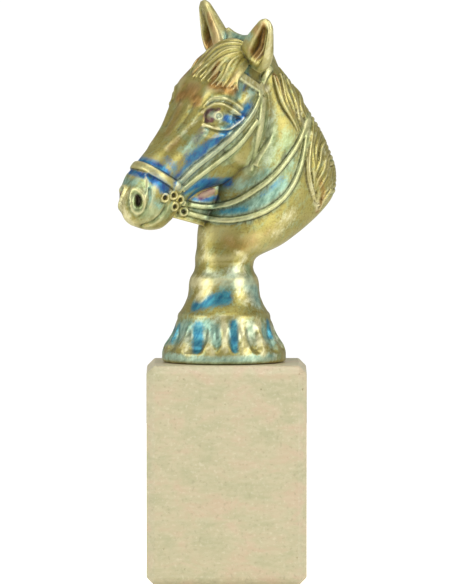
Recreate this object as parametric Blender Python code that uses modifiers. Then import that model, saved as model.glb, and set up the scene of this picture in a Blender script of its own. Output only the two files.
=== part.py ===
"""Horse-head trophy: a one-piece metal casting, a bridled head on a fluted foot, on a marble block.

Metres, +Z up. The origin is the middle of the block's underside. The front of the block faces -Y,
and the horse looks towards -X, turned a little to the front.
"""

import math

import bmesh
import bpy
import numpy as np
from mathutils import Matrix, Vector
from mathutils.bvhtree import BVHTree

# Marble block
BLOCK_WIDTH = 0.073
BLOCK_DEPTH = 0.073
BLOCK_HEIGHT = 0.100
BLOCK_CHAMFER = 0.0035

# Turned foot of the casting, from its seat on the block up to the stem
SEAT_GAP = 0.0003
FOOT_OFFSET_X = -0.0012
FOOT_RADIUS = 0.0283
RIM_HEIGHT = 0.0041
SKIRT_HEIGHT = 0.0155
SKIRT_TOP_RADIUS = 0.0213
SKIRT_LINE = ((0.0, 0.03), (0.2, 0.17), (0.4, 0.33), (0.6, 0.60), (0.8, 0.89), (1.0, 1.0))
LIP_HEIGHT = 0.0032
LIP_STEP = 0.0013
WAIST_HEIGHT = 0.0069
COLLAR_RADIUS = 0.0160
COLLAR_HEIGHT = 0.0086
STEM_RADIUS = 0.0132
STEM_HEIGHT = 0.0092
EDGE_ROUND = 0.0008
FOOT_SEGMENTS = 40

# Folds of the skirt, by degrees round it from the front, and the drop-shaped hollows between them
FOLD_RIBS = (-98, -73, -48, -15, 1, 22, 45, 68, 92, 116, 140, 165, 190, 215, 239)
RIB_WIDTH = 0.0017
FLUTE_PLACE = 0.56
FLUTE_TAPER = 0.30
FLUTE_HEIGHT = 0.0150
FLUTE_DEPTH = 0.0019
FLUTE_ROUND = 0.0032

# The bust. Its pose, proportions and carving are shares of the head's length, poll to upper lip.
HEAD_LENGTH = 0.100
HEAD_PITCH = math.radians(47.5)
HEAD_YAW = math.radians(40)
HEAD_ROLL = math.radians(8)
HEAD_PLACE = (0.093, -0.010, 0.991)
NECK_YAW = math.radians(22)

# Bridle, cast in relief
NOSEBAND_WIDTH = 0.0034
BROWBAND_WIDTH = 0.0038
STRAP_WIDTH = 0.0025
REIN_WIDTH = 0.0023
STRAP_RELIEF = 0.0011
STRAP_ROOT = 0.0030
BIT_RING_RADIUS = 0.0019
BIT_WIRE_RADIUS = 0.0009

# Hair, cast in relief
MANE_LOCK_WIDTH = 0.0042
FORELOCK_LOCK_WIDTH = 0.0034
LOCK_RELIEF = 0.0018
MANE_LOCKS = 13
FORELOCK_LOCKS = 10

# Size of the casting's facets, and the share of them kept
FACET_SIZE = 0.00095
FACETS_KEPT = 0.080

SEAT_Z = BLOCK_HEIGHT + SEAT_GAP
SKIRT_TOP_Z = SEAT_Z + RIM_HEIGHT + SKIRT_HEIGHT
LIP_TOP_Z = SKIRT_TOP_Z + LIP_HEIGHT
COLLAR_Z = LIP_TOP_Z + WAIST_HEIGHT
STEM_TOP_Z = COLLAR_Z + COLLAR_HEIGHT + STEM_HEIGHT
BUST_ORIGIN = np.array((FOOT_OFFSET_X, 0.0, STEM_TOP_Z))

# Head stations: place along the face from the poll, dorsal line, level of greatest width,
# lower line, half width there, squareness above and below it
HEAD_STATIONS = (
    (-0.06, -0.016, -0.12, -0.20, 0.050, 2.1, 2.1),
    (0.00, 0.026, -0.10, -0.33, 0.080, 2.2, 2.3),
    (0.08, 0.062, -0.08, -0.42, 0.112, 2.4, 2.6),
    (0.18, 0.077, -0.05, -0.47, 0.146, 2.6, 2.9),
    (0.30, 0.074, -0.03, -0.482, 0.160, 2.7, 3.4),
    (0.42, 0.044, -0.05, -0.445, 0.150, 2.5, 3.7),
    (0.54, 0.023, -0.07, -0.372, 0.128, 2.3, 3.8),
    (0.66, 0.020, -0.08, -0.300, 0.109, 2.3, 3.0),
    (0.76, 0.025, -0.08, -0.284, 0.099, 2.3, 2.3),
    (0.86, 0.012, -0.08, -0.284, 0.097, 2.4, 2.3),
    (0.93, -0.014, -0.09, -0.258, 0.086, 2.4, 2.4),
    (0.975, -0.046, -0.10, -0.206, 0.062, 2.3, 2.3),
    (1.003, -0.084, -0.12, -0.150, 0.028, 2.1, 2.1),
)

# Neck stations: height above the stem, front edge, back edge, half thickness, lean to the left side
NECK_STATIONS = (
    (-0.08, -0.131, 0.130, 0.128, 0.000),
    (-0.04, -0.132, 0.134, 0.129, 0.000),
    (0.00, -0.133, 0.152, 0.133, 0.000),
    (0.05, -0.127, 0.267, 0.137, 0.001),
    (0.10, -0.126, 0.348, 0.141, 0.002),
    (0.15, -0.120, 0.416, 0.143, 0.003),
    (0.20, -0.097, 0.473, 0.144, 0.005),
    (0.27, -0.060, 0.530, 0.144, 0.008),
    (0.34, -0.045, 0.543, 0.142, 0.013),
    (0.40, -0.030, 0.538, 0.140, 0.016),
    (0.51, 0.030, 0.493, 0.130, 0.024),
    (0.61, 0.070, 0.436, 0.120, 0.032),
    (0.70, 0.090, 0.384, 0.110, 0.040),
    (0.78, 0.090, 0.334, 0.100, 0.047),
    (0.86, 0.070, 0.262, 0.088, 0.055),
    (0.92, 0.075, 0.195, 0.060, 0.060),
)

# Ears, in the head's own directions: root and tip of the left one, how much higher the right one is
# pricked and the left one less; half width and hollow along it
EAR_ROOT = (0.091, -0.028, 0.120)
EAR_TIP = (-0.055, 0.149, 0.232)
EAR_LIFT = (-0.0045, 0.0055, 0.0)
EAR_STATIONS = (
    (0.00, 0.060, 0.0),
    (0.15, 0.080, 0.2),
    (0.35, 0.082, 1.0),
    (0.60, 0.065, 1.0),
    (0.80, 0.048, 0.7),
    (0.94, 0.032, 0.0),
    (1.00, 0.016, 0.0),
)
EAR_DEPTH = 0.62
EAR_TURN = math.radians(12)

# Relief of the face, in the head's own directions on its left side
EYE_CENTRE = (0.387, -0.065)
EYE_REACH = 0.093
EYE_SLANT = (-0.754, -0.657)
LID_HEIGHT = 0.011
LOWER_LID_HEIGHT = 0.008
LID_FOLD_HEIGHT = 0.010
LID_FOLD_DEPTH = 0.007
EYEBALL_CENTRE = (0.404, -0.034)
EYEBALL_RADIUS = 0.052
EYEBALL_HEIGHT = 0.024
EYE_SINK = 0.026
IRIS_RADIUS = 0.017
IRIS_RIM = 0.005
TEMPLE_CENTRE = (0.335, 0.02)
TEMPLE_HEIGHT = 0.010
TEMPLE_REACH = 0.06
NOSTRIL_CENTRE = (0.939, -0.038, 0.072)
NOSTRIL_LONG = (0.027, -0.025, 0.004)
NOSTRIL_SHORT = (-0.014, -0.011, 0.016)
NOSTRIL_DEPTH = 0.040
NOSTRIL_RIM = 0.009
MOUTH = ((1.03, -0.115, 0.0), (0.984, -0.163, 0.048), (0.916, -0.195, 0.078), (0.845, -0.166, 0.092))
NOSE_EDGE = ((0.40, 0.036, 0.105), (0.53, 0.001, 0.100), (0.716, -0.012, 0.080))
NOSE_FOLD = ((0.828, 0.005, 0.055), (0.877, -0.021, 0.080), (0.916, -0.058, 0.091), (0.956, -0.085, 0.081))
CHEEK_CENTRE = (0.29, -0.25)
CHEEK_REACH = 0.185
CHEEK_HEIGHT = 0.012
HOLLOW_CENTRE = (0.60, -0.085)
HOLLOW_REACH = (0.16, 0.05)
HOLLOW_DEPTH = 0.008
NOSE_EDGE_HEIGHT = 0.009
NOSE_FOLD_HEIGHT = 0.008
MOUTH_DEPTH = 0.012

# Webs: the wall between jaw and neck, from its lower edge up, and the one between the ears
THROAT_WEB_PLACES = (0.838, 0.415)
THROAT_WEB_HEIGHTS = (0.130, 0.475)
THROAT_WEB_THICKNESS = (0.056, 0.084)
POLL_WEB_CENTRE = (0.063, -0.027)
POLL_WEB_REACH = 0.11
POLL_WEB_HEIGHT = 0.094
POLL_WEB_RISE = 0.028
POLL_WEB_THICKNESS = 0.034

# Bridle lines as seen from the front of the block, looking a little down: across and up from the
# top of the stem
FRONT_VIEW_DROP = math.radians(3)
CHEEK_STRAP = ((-0.21, 0.333), (-0.153, 0.392), (-0.033, 0.489), (0.061, 0.573), (0.129, 0.657), (0.166, 0.74))
LOWER_STRAP = ((-0.192, 0.306), (-0.153, 0.341), (-0.05, 0.42), (0.073, 0.521), (0.151, 0.626))
CROWN_STRAP = ((0.212, 0.866), (0.187, 0.827), (0.169, 0.781), (0.16, 0.736))
THROAT_STRAP = ((0.178, 0.731), (0.165, 0.608), (0.146, 0.493), (0.121, 0.397))
THROAT_BRANCH = ((0.229, 0.589), (0.2, 0.516), (0.168, 0.471), (0.142, 0.42))
UPPER_REIN = (
    (-0.187, 0.247), (-0.11, 0.233), (-0.027, 0.233), (0.055, 0.256), (0.139, 0.306),
    (0.223, 0.37), (0.279, 0.434), (0.334, 0.516), (0.378, 0.617), (0.388, 0.645),
)
LOWER_REIN = (
    (-0.178, 0.205), (-0.11, 0.187), (-0.043, 0.172), (0.027, 0.169), (0.112, 0.183),
    (0.195, 0.215), (0.267, 0.269), (0.322, 0.347), (0.357, 0.448), (0.373, 0.544), (0.388, 0.63),
)
BIT_RINGS = ((-0.271, 0.269), (-0.232, 0.281), (-0.203, 0.261), (-0.227, 0.23), (-0.186, 0.207))
NOSEBAND_PLACE = 0.787
NOSEBAND_REACH = math.radians(112)
BROWBAND_PLACE = 0.185
BROWBAND_REACH = math.radians(97)
BAND_SLANT = 0.26

# Hair lines, seen the same way
MANE_CREST = (
    (0.229, 0.873), (0.27, 0.836), (0.329, 0.763), (0.389, 0.64),
    (0.439, 0.576), (0.485, 0.475), (0.503, 0.361), (0.485, 0.283), (0.448, 0.233),
)
MANE_EDGE = (
    (0.219, 0.818), (0.24, 0.742), (0.286, 0.67), (0.34, 0.566),
    (0.379, 0.507), (0.393, 0.443), (0.407, 0.333), (0.43, 0.244),
)
FORELOCK_ROOTS = ((0.105, 0.969), (0.105, 0.90))
FORELOCK_BENDS = ((-0.027, 0.967), (-0.023, 0.919), (0.0, 0.891), (0.037, 0.873), (0.073, 0.836))
FORELOCK_TIPS = ((-0.155, 0.845), (-0.11, 0.8), (-0.046, 0.772), (0.014, 0.772), (0.069, 0.749))


def smooth_rows(rows, at):
    """Each column of rows, over the first, as one smooth curve read at the places in at."""
    rows = np.asarray(rows, float)
    x, y = rows[:, 0], rows[:, 1:]
    at = np.clip(np.atleast_1d(np.asarray(at, float)), x[0], x[-1])
    slope = np.gradient(y, x, axis=0)
    i = np.clip(np.searchsorted(x, at, side="right") - 1, 0, len(x) - 2)
    step = (x[i + 1] - x[i])[:, None]
    t = ((at - x[i]) / (x[i + 1] - x[i]))[:, None]
    return (
        (2 * t**3 - 3 * t**2 + 1) * y[i]
        + (t**3 - 2 * t**2 + t) * step * slope[i]
        + (3 * t**2 - 2 * t**3) * y[i + 1]
        + (t**3 - t**2) * step * slope[i + 1]
    )


def along(points, shares):
    """The smooth curve through points, read at shares of its length."""
    points = np.asarray(points, float)
    span = np.r_[0, np.cumsum(np.linalg.norm(np.diff(points, axis=0), axis=1))]
    return smooth_rows(np.c_[span, points], np.asarray(shares, float) * span[-1])


def rise(x, low, high):
    """0 at low, 1 at high, and smooth between."""
    t = np.clip((x - low) / (high - low), 0, 1)
    return t * t * (3 - 2 * t)


def bump(distance, width):
    """1 on the line and fading over the width to either side."""
    return np.exp(-((distance / width) ** 2))


def distance_to_line(points, line):
    """Distance from each point to a smooth line through the given ones."""
    line = along(line, np.linspace(0, 1, 4 * len(line)))
    best = np.full(points.shape[:-1], np.inf)
    for a, b in zip(line[:-1], line[1:]):
        share = np.clip((points - a) @ (b - a) / ((b - a) @ (b - a)), 0, 1)
        best = np.minimum(best, np.linalg.norm(points - a - share[..., None] * (b - a), axis=-1))
    return best


# Directions and places
def head_axes():
    """The head's own directions: along the face, towards the forehead, and to its left side."""
    forward = np.array((-math.cos(HEAD_YAW), -math.sin(HEAD_YAW), 0.0))
    left = np.array((math.sin(HEAD_YAW), -math.cos(HEAD_YAW), 0.0))
    up = np.array((0.0, 0.0, 1.0))
    side = left * math.cos(HEAD_ROLL) - up * math.sin(HEAD_ROLL)
    crown = up * math.cos(HEAD_ROLL) + left * math.sin(HEAD_ROLL)
    face = forward * math.cos(HEAD_PITCH) - crown * math.sin(HEAD_PITCH)
    brow = forward * math.sin(HEAD_PITCH) + crown * math.cos(HEAD_PITCH)
    return np.array((face, brow, side))


def head_to_row(points):
    """From the head's own directions to the part's frame."""
    return BUST_ORIGIN + HEAD_LENGTH * (np.asarray(HEAD_PLACE) + np.asarray(points) @ head_axes())


def row_to_head(points):
    """From the part's frame to the head's own directions."""
    return ((np.asarray(points) - BUST_ORIGIN) / HEAD_LENGTH - np.asarray(HEAD_PLACE)) @ head_axes().T


def neck_axes():
    """The neck's own directions: back towards the crest, to its left side, and up."""
    c, s = math.cos(NECK_YAW), math.sin(NECK_YAW)
    return np.array(((c, s, 0.0), (s, -c, 0.0), (0.0, 0.0, 1.0)))


def neck_to_row(points):
    """From the neck's own directions to the part's frame."""
    return BUST_ORIGIN + HEAD_LENGTH * np.asarray(points) @ neck_axes()


def other_side(points):
    """The same places on the other side: mirrored in the head, in the neck, or between the two."""
    own = (np.asarray(points) - BUST_ORIGIN) / HEAD_LENGTH @ neck_axes().T
    on_neck = rise(own[:, :1], -0.22, 0.05)
    lean = smooth_rows(NECK_STATIONS, own[:, 2])[:, 3]
    own[:, 1] = 2 * lean - own[:, 1]
    in_head = head_to_row(row_to_head(points) * (1, 1, -1))
    return in_head * (1 - on_neck) + neck_to_row(own) * on_neck


# Skins
def head_ring(place, turn):
    """Points round the bare head at one place along the face, from the dorsal line by the left."""
    top, middle, low, half, square_top, square_low = smooth_rows(HEAD_STATIONS, place)[0]
    c, s = np.cos(turn), np.sin(turn)
    power = 2 / np.where(c >= 0, square_top, square_low)
    w = half * np.sign(s) * np.abs(s) ** power
    v = middle + np.where(c >= 0, top - middle, middle - low) * np.sign(c) * np.abs(c) ** power
    return np.stack([np.full(v.shape, place), v, w], -1)


def eye_relief(u, v):
    """Lids, the folds over and under them, and the ball with its iris."""
    back = np.array(EYE_SLANT)
    over = np.array((EYE_SLANT[1], -EYE_SLANT[0]))
    offset = np.stack([u, v], -1) - EYE_CENTRE
    p, q = offset @ back / EYE_REACH, offset @ over / EYE_REACH
    arch = np.clip(1 - p**2, 0, None)
    inside = rise(0.66 * arch - q, 0.0, 0.12) * rise(q + 0.50 * arch, 0.0, 0.12)
    ball = np.linalg.norm(np.stack([u, v], -1) - EYEBALL_CENTRE, axis=-1)
    relief = LID_HEIGHT * bump(q - 0.74 * arch, 0.13)
    relief += LOWER_LID_HEIGHT * bump(q + 0.56 * arch, 0.12)
    relief += LID_FOLD_HEIGHT * bump(q - 0.26 - 0.76 * arch, 0.13)
    relief -= LID_FOLD_DEPTH * bump(q - 0.13 - 0.76 * arch, 0.07)
    globe = EYEBALL_HEIGHT * np.sqrt(np.clip(1 - (ball / EYEBALL_RADIUS) ** 2, 0, None))
    globe += IRIS_RIM * bump(ball - IRIS_RADIUS, IRIS_RADIUS * 0.4)
    return (relief + (globe - EYE_SINK) * inside) * rise(-np.abs(p), -1.45, -1.0)


def nostril_relief(places):
    """A deep oval hollow with a raised rim."""
    offset = places - NOSTRIL_CENTRE
    a = offset @ np.array(NOSTRIL_LONG) / np.dot(NOSTRIL_LONG, NOSTRIL_LONG)
    b = offset @ np.array(NOSTRIL_SHORT) / np.dot(NOSTRIL_SHORT, NOSTRIL_SHORT)
    ring = np.hypot(a, b)
    close = rise(-np.linalg.norm(offset, axis=-1), -0.10, -0.06)
    return (NOSTRIL_RIM * bump(ring - 1.4, 0.45) - NOSTRIL_DEPTH * rise(-ring, -1.15, -0.5)) * close


def face_relief(skin):
    """Height of the face's carving over the bare head, the same on both sides."""
    places = skin.copy()
    places[..., 2] = np.abs(skin[..., 2])
    u, v, w = np.moveaxis(places, -1, 0)
    on_side = rise(w, 0.05, 0.10)
    cheek = np.hypot(u - CHEEK_CENTRE[0], v - CHEEK_CENTRE[1]) / CHEEK_REACH
    relief = eye_relief(u, v) * on_side
    temple = np.hypot(u - TEMPLE_CENTRE[0], v - TEMPLE_CENTRE[1]) / TEMPLE_REACH
    hollow = np.hypot((u - HOLLOW_CENTRE[0]) / HOLLOW_REACH[0], (v - HOLLOW_CENTRE[1]) / HOLLOW_REACH[1])
    relief += TEMPLE_HEIGHT * bump(temple, 1.0) * on_side
    relief += nostril_relief(places)
    relief += CHEEK_HEIGHT * rise(-cheek, -1.12, -0.85) * on_side
    relief -= HOLLOW_DEPTH * bump(hollow, 1.0) * on_side
    relief += NOSE_EDGE_HEIGHT * bump(distance_to_line(places, NOSE_EDGE), 0.022)
    relief += NOSE_FOLD_HEIGHT * bump(distance_to_line(places, NOSE_FOLD), 0.012)
    relief -= MOUTH_DEPTH * bump(distance_to_line(places, MOUTH), 0.010)
    return relief


def carved_head(rows, around):
    """The head with its relief, pushed out or in along its own outward direction."""
    turn = np.linspace(0, 2 * np.pi, around, endpoint=False)
    places = np.linspace(HEAD_STATIONS[0][0], HEAD_STATIONS[-1][0], rows)
    skin = np.stack([head_ring(place, turn) for place in places])
    run = np.gradient(skin, axis=0)
    round_it = np.roll(skin, -1, axis=1) - np.roll(skin, 1, axis=1)
    outward = np.cross(round_it, run)
    outward /= np.linalg.norm(outward, axis=-1, keepdims=True) + 1e-9
    middle = skin.mean(axis=1, keepdims=True)
    outward *= np.sign(((skin - middle) * outward).sum(axis=(1, 2)))[:, None, None]
    return head_to_row(skin + outward * face_relief(skin)[..., None])


def neck_skin(rows, around):
    """The neck as level rings, thinner towards the crest."""
    height = np.linspace(NECK_STATIONS[0][0], NECK_STATIONS[-1][0], rows)[:, None]
    turn = np.linspace(0, 2 * np.pi, around, endpoint=False)[None, :]
    front, back, half, lean = (c[:, None] for c in smooth_rows(NECK_STATIONS, height[:, 0]).T)
    crest = rise(height, 0.0, 0.3) * ((1 + np.cos(turn)) / 2) ** 1.5
    depth = (front + back) / 2 + (back - front) / 2 * np.cos(turn)
    side = half * (1 - 0.40 * crest) * np.sin(turn) + lean
    return neck_to_row(np.stack([depth, side, np.broadcast_to(height, side.shape)], -1))


def throat_web(rows, around):
    """The wall that fills the corner between the jaw and the neck."""
    turn = np.linspace(0, 2 * np.pi, around, endpoint=False)
    side = head_axes()[2] * HEAD_LENGTH
    rings = []
    inner, outer = THROAT_WEB_THICKNESS
    for place, height in zip(np.linspace(*THROAT_WEB_PLACES, rows), np.linspace(*THROAT_WEB_HEIGHTS, rows)):
        low = smooth_rows(HEAD_STATIONS, place)[0, 2]
        jaw = head_to_row((place, low + 0.012, 0.0))
        front, _, _, lean = smooth_rows(NECK_STATIONS, height)[0]
        neck = neck_to_row((front + 0.08, lean, height))
        thick = inner + (outer - inner) * (1 - np.cos(turn)) / 4
        reach = np.outer(np.cos(turn), (jaw - neck) / 2)
        rings.append((jaw + neck) / 2 + reach + np.outer(thick * np.sin(turn), side))
    return np.array(rings)


def ear(side, rows, around):
    """One ear, leaf-shaped and hollow towards the front."""
    root = np.array(EAR_ROOT) * (1, 1, side) - side * np.array(EAR_LIFT)
    tip = np.array(EAR_TIP) * (1, 1, side) - side * np.array(EAR_LIFT)
    axis = (tip - root) / np.linalg.norm(tip - root)
    ahead = np.array((math.cos(HEAD_PITCH), math.sin(HEAD_PITCH), 0.0)) * math.cos(EAR_TURN)
    ahead[2] = side * math.sin(EAR_TURN)
    across = np.cross(axis, ahead)
    across /= np.linalg.norm(across)
    ahead = np.cross(across, axis)
    turn = np.linspace(0, 2 * np.pi, around, endpoint=False)
    c, s = np.cos(turn), np.sin(turn)
    rings = []
    for share in np.linspace(0, 1, rows):
        half, hollow = smooth_rows(EAR_STATIONS, share)[0]
        front = 0.60 * np.abs(c) ** 0.5 - 1.15 * hollow * rise(np.abs(c), 0.40, 0.95)
        depth = EAR_DEPTH * half * np.where(c > 0, front, -np.abs(c) ** 0.7)
        centre = root + (tip - root) * share
        rings.append(centre + np.outer(half * s, across) + np.outer(depth, ahead))
    return head_to_row(np.array(rings))


def poll_web(rows, around):
    """The low wall that joins the ears over the poll."""
    turn = np.linspace(0, 2 * np.pi, around, endpoint=False)
    up = np.array((-math.sin(HEAD_PITCH), math.cos(HEAD_PITCH), 0.0))
    ahead = np.array((math.cos(HEAD_PITCH), math.sin(HEAD_PITCH), 0.0))
    rings = []
    for share in np.linspace(-1, 1, rows):
        centre = np.array((*POLL_WEB_CENTRE, POLL_WEB_REACH * share))
        tall = np.outer((POLL_WEB_HEIGHT + POLL_WEB_RISE * share**2) * np.cos(turn), up)
        rings.append(centre + tall + np.outer(POLL_WEB_THICKNESS * np.sin(turn), ahead))
    return head_to_row(np.array(rings))


# Solids
class Shells:
    """Closed shells, gathered as one mesh."""

    def __init__(self):
        self.points = []
        self.faces = []

    def add(self, rings):
        """A skin over a row of equal rings, with a fan over each end."""
        rings = np.asarray(rings, float)
        rows, around = rings.shape[:2]
        base = len(self.points)
        self.points.extend(rings.reshape(-1, 3).tolist())
        self.points.append(rings[0].mean(axis=0).tolist())
        self.points.append(rings[-1].mean(axis=0).tolist())
        first, last = base + rows * around, base + rows * around + 1
        end = base + (rows - 1) * around
        for k in range(around):
            k2 = (k + 1) % around
            for row in range(base, end, around):
                self.faces.append((row + k, row + k2, row + around + k2, row + around + k))
            self.faces.append((first, base + k2, base + k))
            self.faces.append((last, end + k, end + k2))

    def tree(self):
        """The skins as one surface that lines can be laid on."""
        return BVHTree.FromPolygons(self.points, self.faces)

    def mesh(self, name):
        """The mesh, every shell facing out."""
        mesh = bpy.data.meshes.new(name)
        mesh.from_pydata(self.points, [], self.faces)
        shape = bmesh.new()
        shape.from_mesh(mesh)
        bmesh.ops.recalc_face_normals(shape, faces=shape.faces)
        shape.to_mesh(mesh)
        shape.free()
        return mesh


def laid_on(tree, starts, looks):
    """Where the outer skin stops lines that start off it, and its outward directions there."""
    places, outward = [], []
    for start, look in zip(starts, looks):
        hit, facing = tree.ray_cast(Vector(start), Vector(look))[:2]
        if hit is not None:
            places.append(hit)
            outward.append(facing if facing.dot(Vector(look)) < 0 else -facing)
    outward = np.array(outward).reshape(-1, 3)
    places = np.array(places).reshape(-1, 3)
    for _ in range(4):
        places[1:-1] = (places[:-2] + 2 * places[1:-1] + places[2:]) / 4
        outward[1:-1] = (outward[:-2] + 2 * outward[1:-1] + outward[2:]) / 4
    return places, outward / np.linalg.norm(outward, axis=1, keepdims=True)


def seen_from_front(tree, line):
    """Where a line drawn on the front view lies on the skin."""
    look = np.array((0.0, math.cos(FRONT_VIEW_DROP), -math.sin(FRONT_VIEW_DROP)))
    starts = [BUST_ORIGIN + HEAD_LENGTH * (np.array((x, 0.0, z)) - 3 * look) for x, z in line]
    return laid_on(tree, starts, [look] * len(starts))


def on_other_side(tree, places, outward):
    """The same line on the skin's other side."""
    there = other_side(places)
    away = other_side(places + outward * HEAD_LENGTH) - there
    away /= np.linalg.norm(away, axis=1, keepdims=True)
    return laid_on(tree, there + away * HEAD_LENGTH, -away)


def band(places, outward, width, relief, taper=0):
    """A raised band on the skin, rooted deep in it; taper thins it towards its ends."""
    ahead = np.gradient(places, axis=0)
    ahead /= np.linalg.norm(ahead, axis=1, keepdims=True) + 1e-9
    across = np.cross(outward, ahead)
    across /= np.linalg.norm(across, axis=1, keepdims=True)
    share = np.linspace(0, 1, len(places))
    full = 1 - taper * (1 - np.sin(np.pi * (0.12 + 0.86 * share)))
    turn = np.linspace(0, 2 * np.pi, 12, endpoint=False)
    c = np.sign(np.cos(turn)) * np.abs(np.cos(turn)) ** 0.6
    s = np.sign(np.sin(turn)) * np.abs(np.sin(turn)) ** 0.6
    height = np.where(s > 0, s * relief, s * STRAP_ROOT)
    rings = places[:, None] + across[:, None] * (c * width / 2 * full[:, None])[..., None]
    return rings + outward[:, None] * (height * full[:, None])[..., None]


def girth(tree, place, reach, count):
    """A line round the head from its dorsal line down both sides, slanted like the straps."""
    rows = np.empty((count, 3))
    for row, angle in enumerate(np.linspace(-reach, reach, count)):
        at = place
        for _ in range(4):
            rows[row] = head_ring(at, np.array([angle]))[0]
            at = place + BAND_SLANT * min(rows[row, 1], 0.0)
    middle = rows * (1, 0, 0) + (0, -0.08, 0)
    looks = head_to_row(middle) - head_to_row(rows)
    looks /= np.linalg.norm(looks, axis=1, keepdims=True)
    return laid_on(tree, head_to_row(rows) - looks * HEAD_LENGTH / 4, looks)


def add_bridle(shells, tree):
    """The two bands across the face, and the straps of both sides."""
    noseband = girth(tree, NOSEBAND_PLACE, NOSEBAND_REACH, 44)
    browband = girth(tree, BROWBAND_PLACE, BROWBAND_REACH, 44)
    shells.add(band(*noseband, NOSEBAND_WIDTH, STRAP_RELIEF))
    shells.add(band(*browband, BROWBAND_WIDTH, STRAP_RELIEF))
    straps = [CHEEK_STRAP, LOWER_STRAP, CROWN_STRAP, THROAT_STRAP, THROAT_BRANCH]
    for line in straps + [UPPER_REIN, LOWER_REIN]:
        width = STRAP_WIDTH if line in straps else REIN_WIDTH
        seen = seen_from_front(tree, along(line, np.linspace(0, 1, 6 * len(line))))
        shells.add(band(*seen, width, STRAP_RELIEF))
        shells.add(band(*on_other_side(tree, *seen), width, STRAP_RELIEF))


def add_hair(shells, tree):
    """The mane's locks, which drift from the crest down to its edge, and the fan of the forelock."""
    share = np.linspace(0, 1, 16)
    for i in range(MANE_LOCKS):
        start = i / (MANE_LOCKS - 1)
        at = np.clip(0.90 * start - 0.10 + (0.26 - 0.09 * start) * share, 0, 1)
        drift = (0.98 - 0.95 * share + 0.10 * np.sin(2.2 * np.pi * share + i))[:, None]
        line = along(MANE_EDGE, at) * (1 - drift) + along(MANE_CREST, at) * drift
        seen = seen_from_front(tree, line)
        shells.add(band(*seen, MANE_LOCK_WIDTH, LOCK_RELIEF, 0.85))
        shells.add(band(*on_other_side(tree, *seen), MANE_LOCK_WIDTH, LOCK_RELIEF, 0.85))
    for i in range(FORELOCK_LOCKS):
        fan = i / (FORELOCK_LOCKS - 1)
        stops = [along(line, fan)[0] for line in (FORELOCK_ROOTS, FORELOCK_BENDS, FORELOCK_TIPS)]
        seen = seen_from_front(tree, along(stops, share))
        shells.add(band(*seen, FORELOCK_LOCK_WIDTH, LOCK_RELIEF, 0.75))


def ring_at(place, outward):
    """One ring of the bit, lying flat on the skin."""
    bpy.ops.mesh.primitive_torus_add(
        major_radius=BIT_RING_RADIUS,
        minor_radius=BIT_WIRE_RADIUS,
        major_segments=20,
        minor_segments=10,
        location=place + outward * BIT_WIRE_RADIUS / 3,
        rotation=Vector(outward).to_track_quat("Z", "Y").to_euler(),
    )
    return bpy.context.object


def bust(name):
    """The head, neck, ears, bridle and hair, as one mesh of overlapping closed shells."""
    skins = Shells()
    skins.add(carved_head(150, 132))
    skins.add(neck_skin(60, 64))
    skins.add(throat_web(14, 24))
    skins.add(poll_web(11, 20))
    tree = skins.tree()
    skins.add(ear(1, 40, 40))
    skins.add(ear(-1, 40, 40))
    add_bridle(skins, tree)
    add_hair(skins, tree)
    body = bpy.data.objects.new(name, skins.mesh(name))
    bpy.context.scene.collection.objects.link(body)

    left = seen_from_front(tree, BIT_RINGS)
    rings = []
    for side in (left, on_other_side(tree, *left)):
        for place, outward in zip(*side):
            rings.append(ring_at(place, outward))
    with bpy.context.temp_override(active_object=body, selected_editable_objects=[body, *rings]):
        bpy.ops.object.join()
    return body


def foot_profile():
    """The turned outline of the foot, top to bottom."""
    rim_z = SEAT_Z + RIM_HEIGHT
    flare = FOOT_RADIUS - SKIRT_TOP_RADIUS
    shoulder = COLLAR_RADIUS - STEM_RADIUS
    points = [
        (0.0, STEM_TOP_Z + EDGE_ROUND),
        (STEM_RADIUS * 0.75, STEM_TOP_Z + EDGE_ROUND / 2),
        (STEM_RADIUS, STEM_TOP_Z - STEM_HEIGHT * 0.15),
        (STEM_RADIUS, STEM_TOP_Z - STEM_HEIGHT * 0.45),
        (STEM_RADIUS + shoulder * 0.20, STEM_TOP_Z - STEM_HEIGHT * 0.70),
        (COLLAR_RADIUS - shoulder * 0.20, COLLAR_Z + COLLAR_HEIGHT),
        (COLLAR_RADIUS, COLLAR_Z + COLLAR_HEIGHT * 0.72),
        (COLLAR_RADIUS + shoulder * 0.05, COLLAR_Z + COLLAR_HEIGHT * 0.35),
        (COLLAR_RADIUS + shoulder * 0.20, COLLAR_Z),
        (COLLAR_RADIUS + (SKIRT_TOP_RADIUS - COLLAR_RADIUS) * 0.40, LIP_TOP_Z + WAIST_HEIGHT * 0.45),
        (SKIRT_TOP_RADIUS - LIP_STEP, LIP_TOP_Z),
        (SKIRT_TOP_RADIUS - LIP_STEP * 0.30, LIP_TOP_Z - LIP_HEIGHT * 0.25),
        (SKIRT_TOP_RADIUS, LIP_TOP_Z - LIP_HEIGHT * 0.75),
        (SKIRT_TOP_RADIUS - LIP_STEP * 0.15, SKIRT_TOP_Z),
    ]
    for down in np.linspace(0.15, 0.93, 6):
        spread_out = smooth_rows(SKIRT_LINE, down)[0, 0]
        points.append((SKIRT_TOP_RADIUS + flare * spread_out, SKIRT_TOP_Z - SKIRT_HEIGHT * down))
    points += [
        (FOOT_RADIUS, rim_z),
        (FOOT_RADIUS, SEAT_Z + EDGE_ROUND),
        (FOOT_RADIUS - EDGE_ROUND, SEAT_Z),
        (0.0, SEAT_Z),
    ]
    return points


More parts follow.
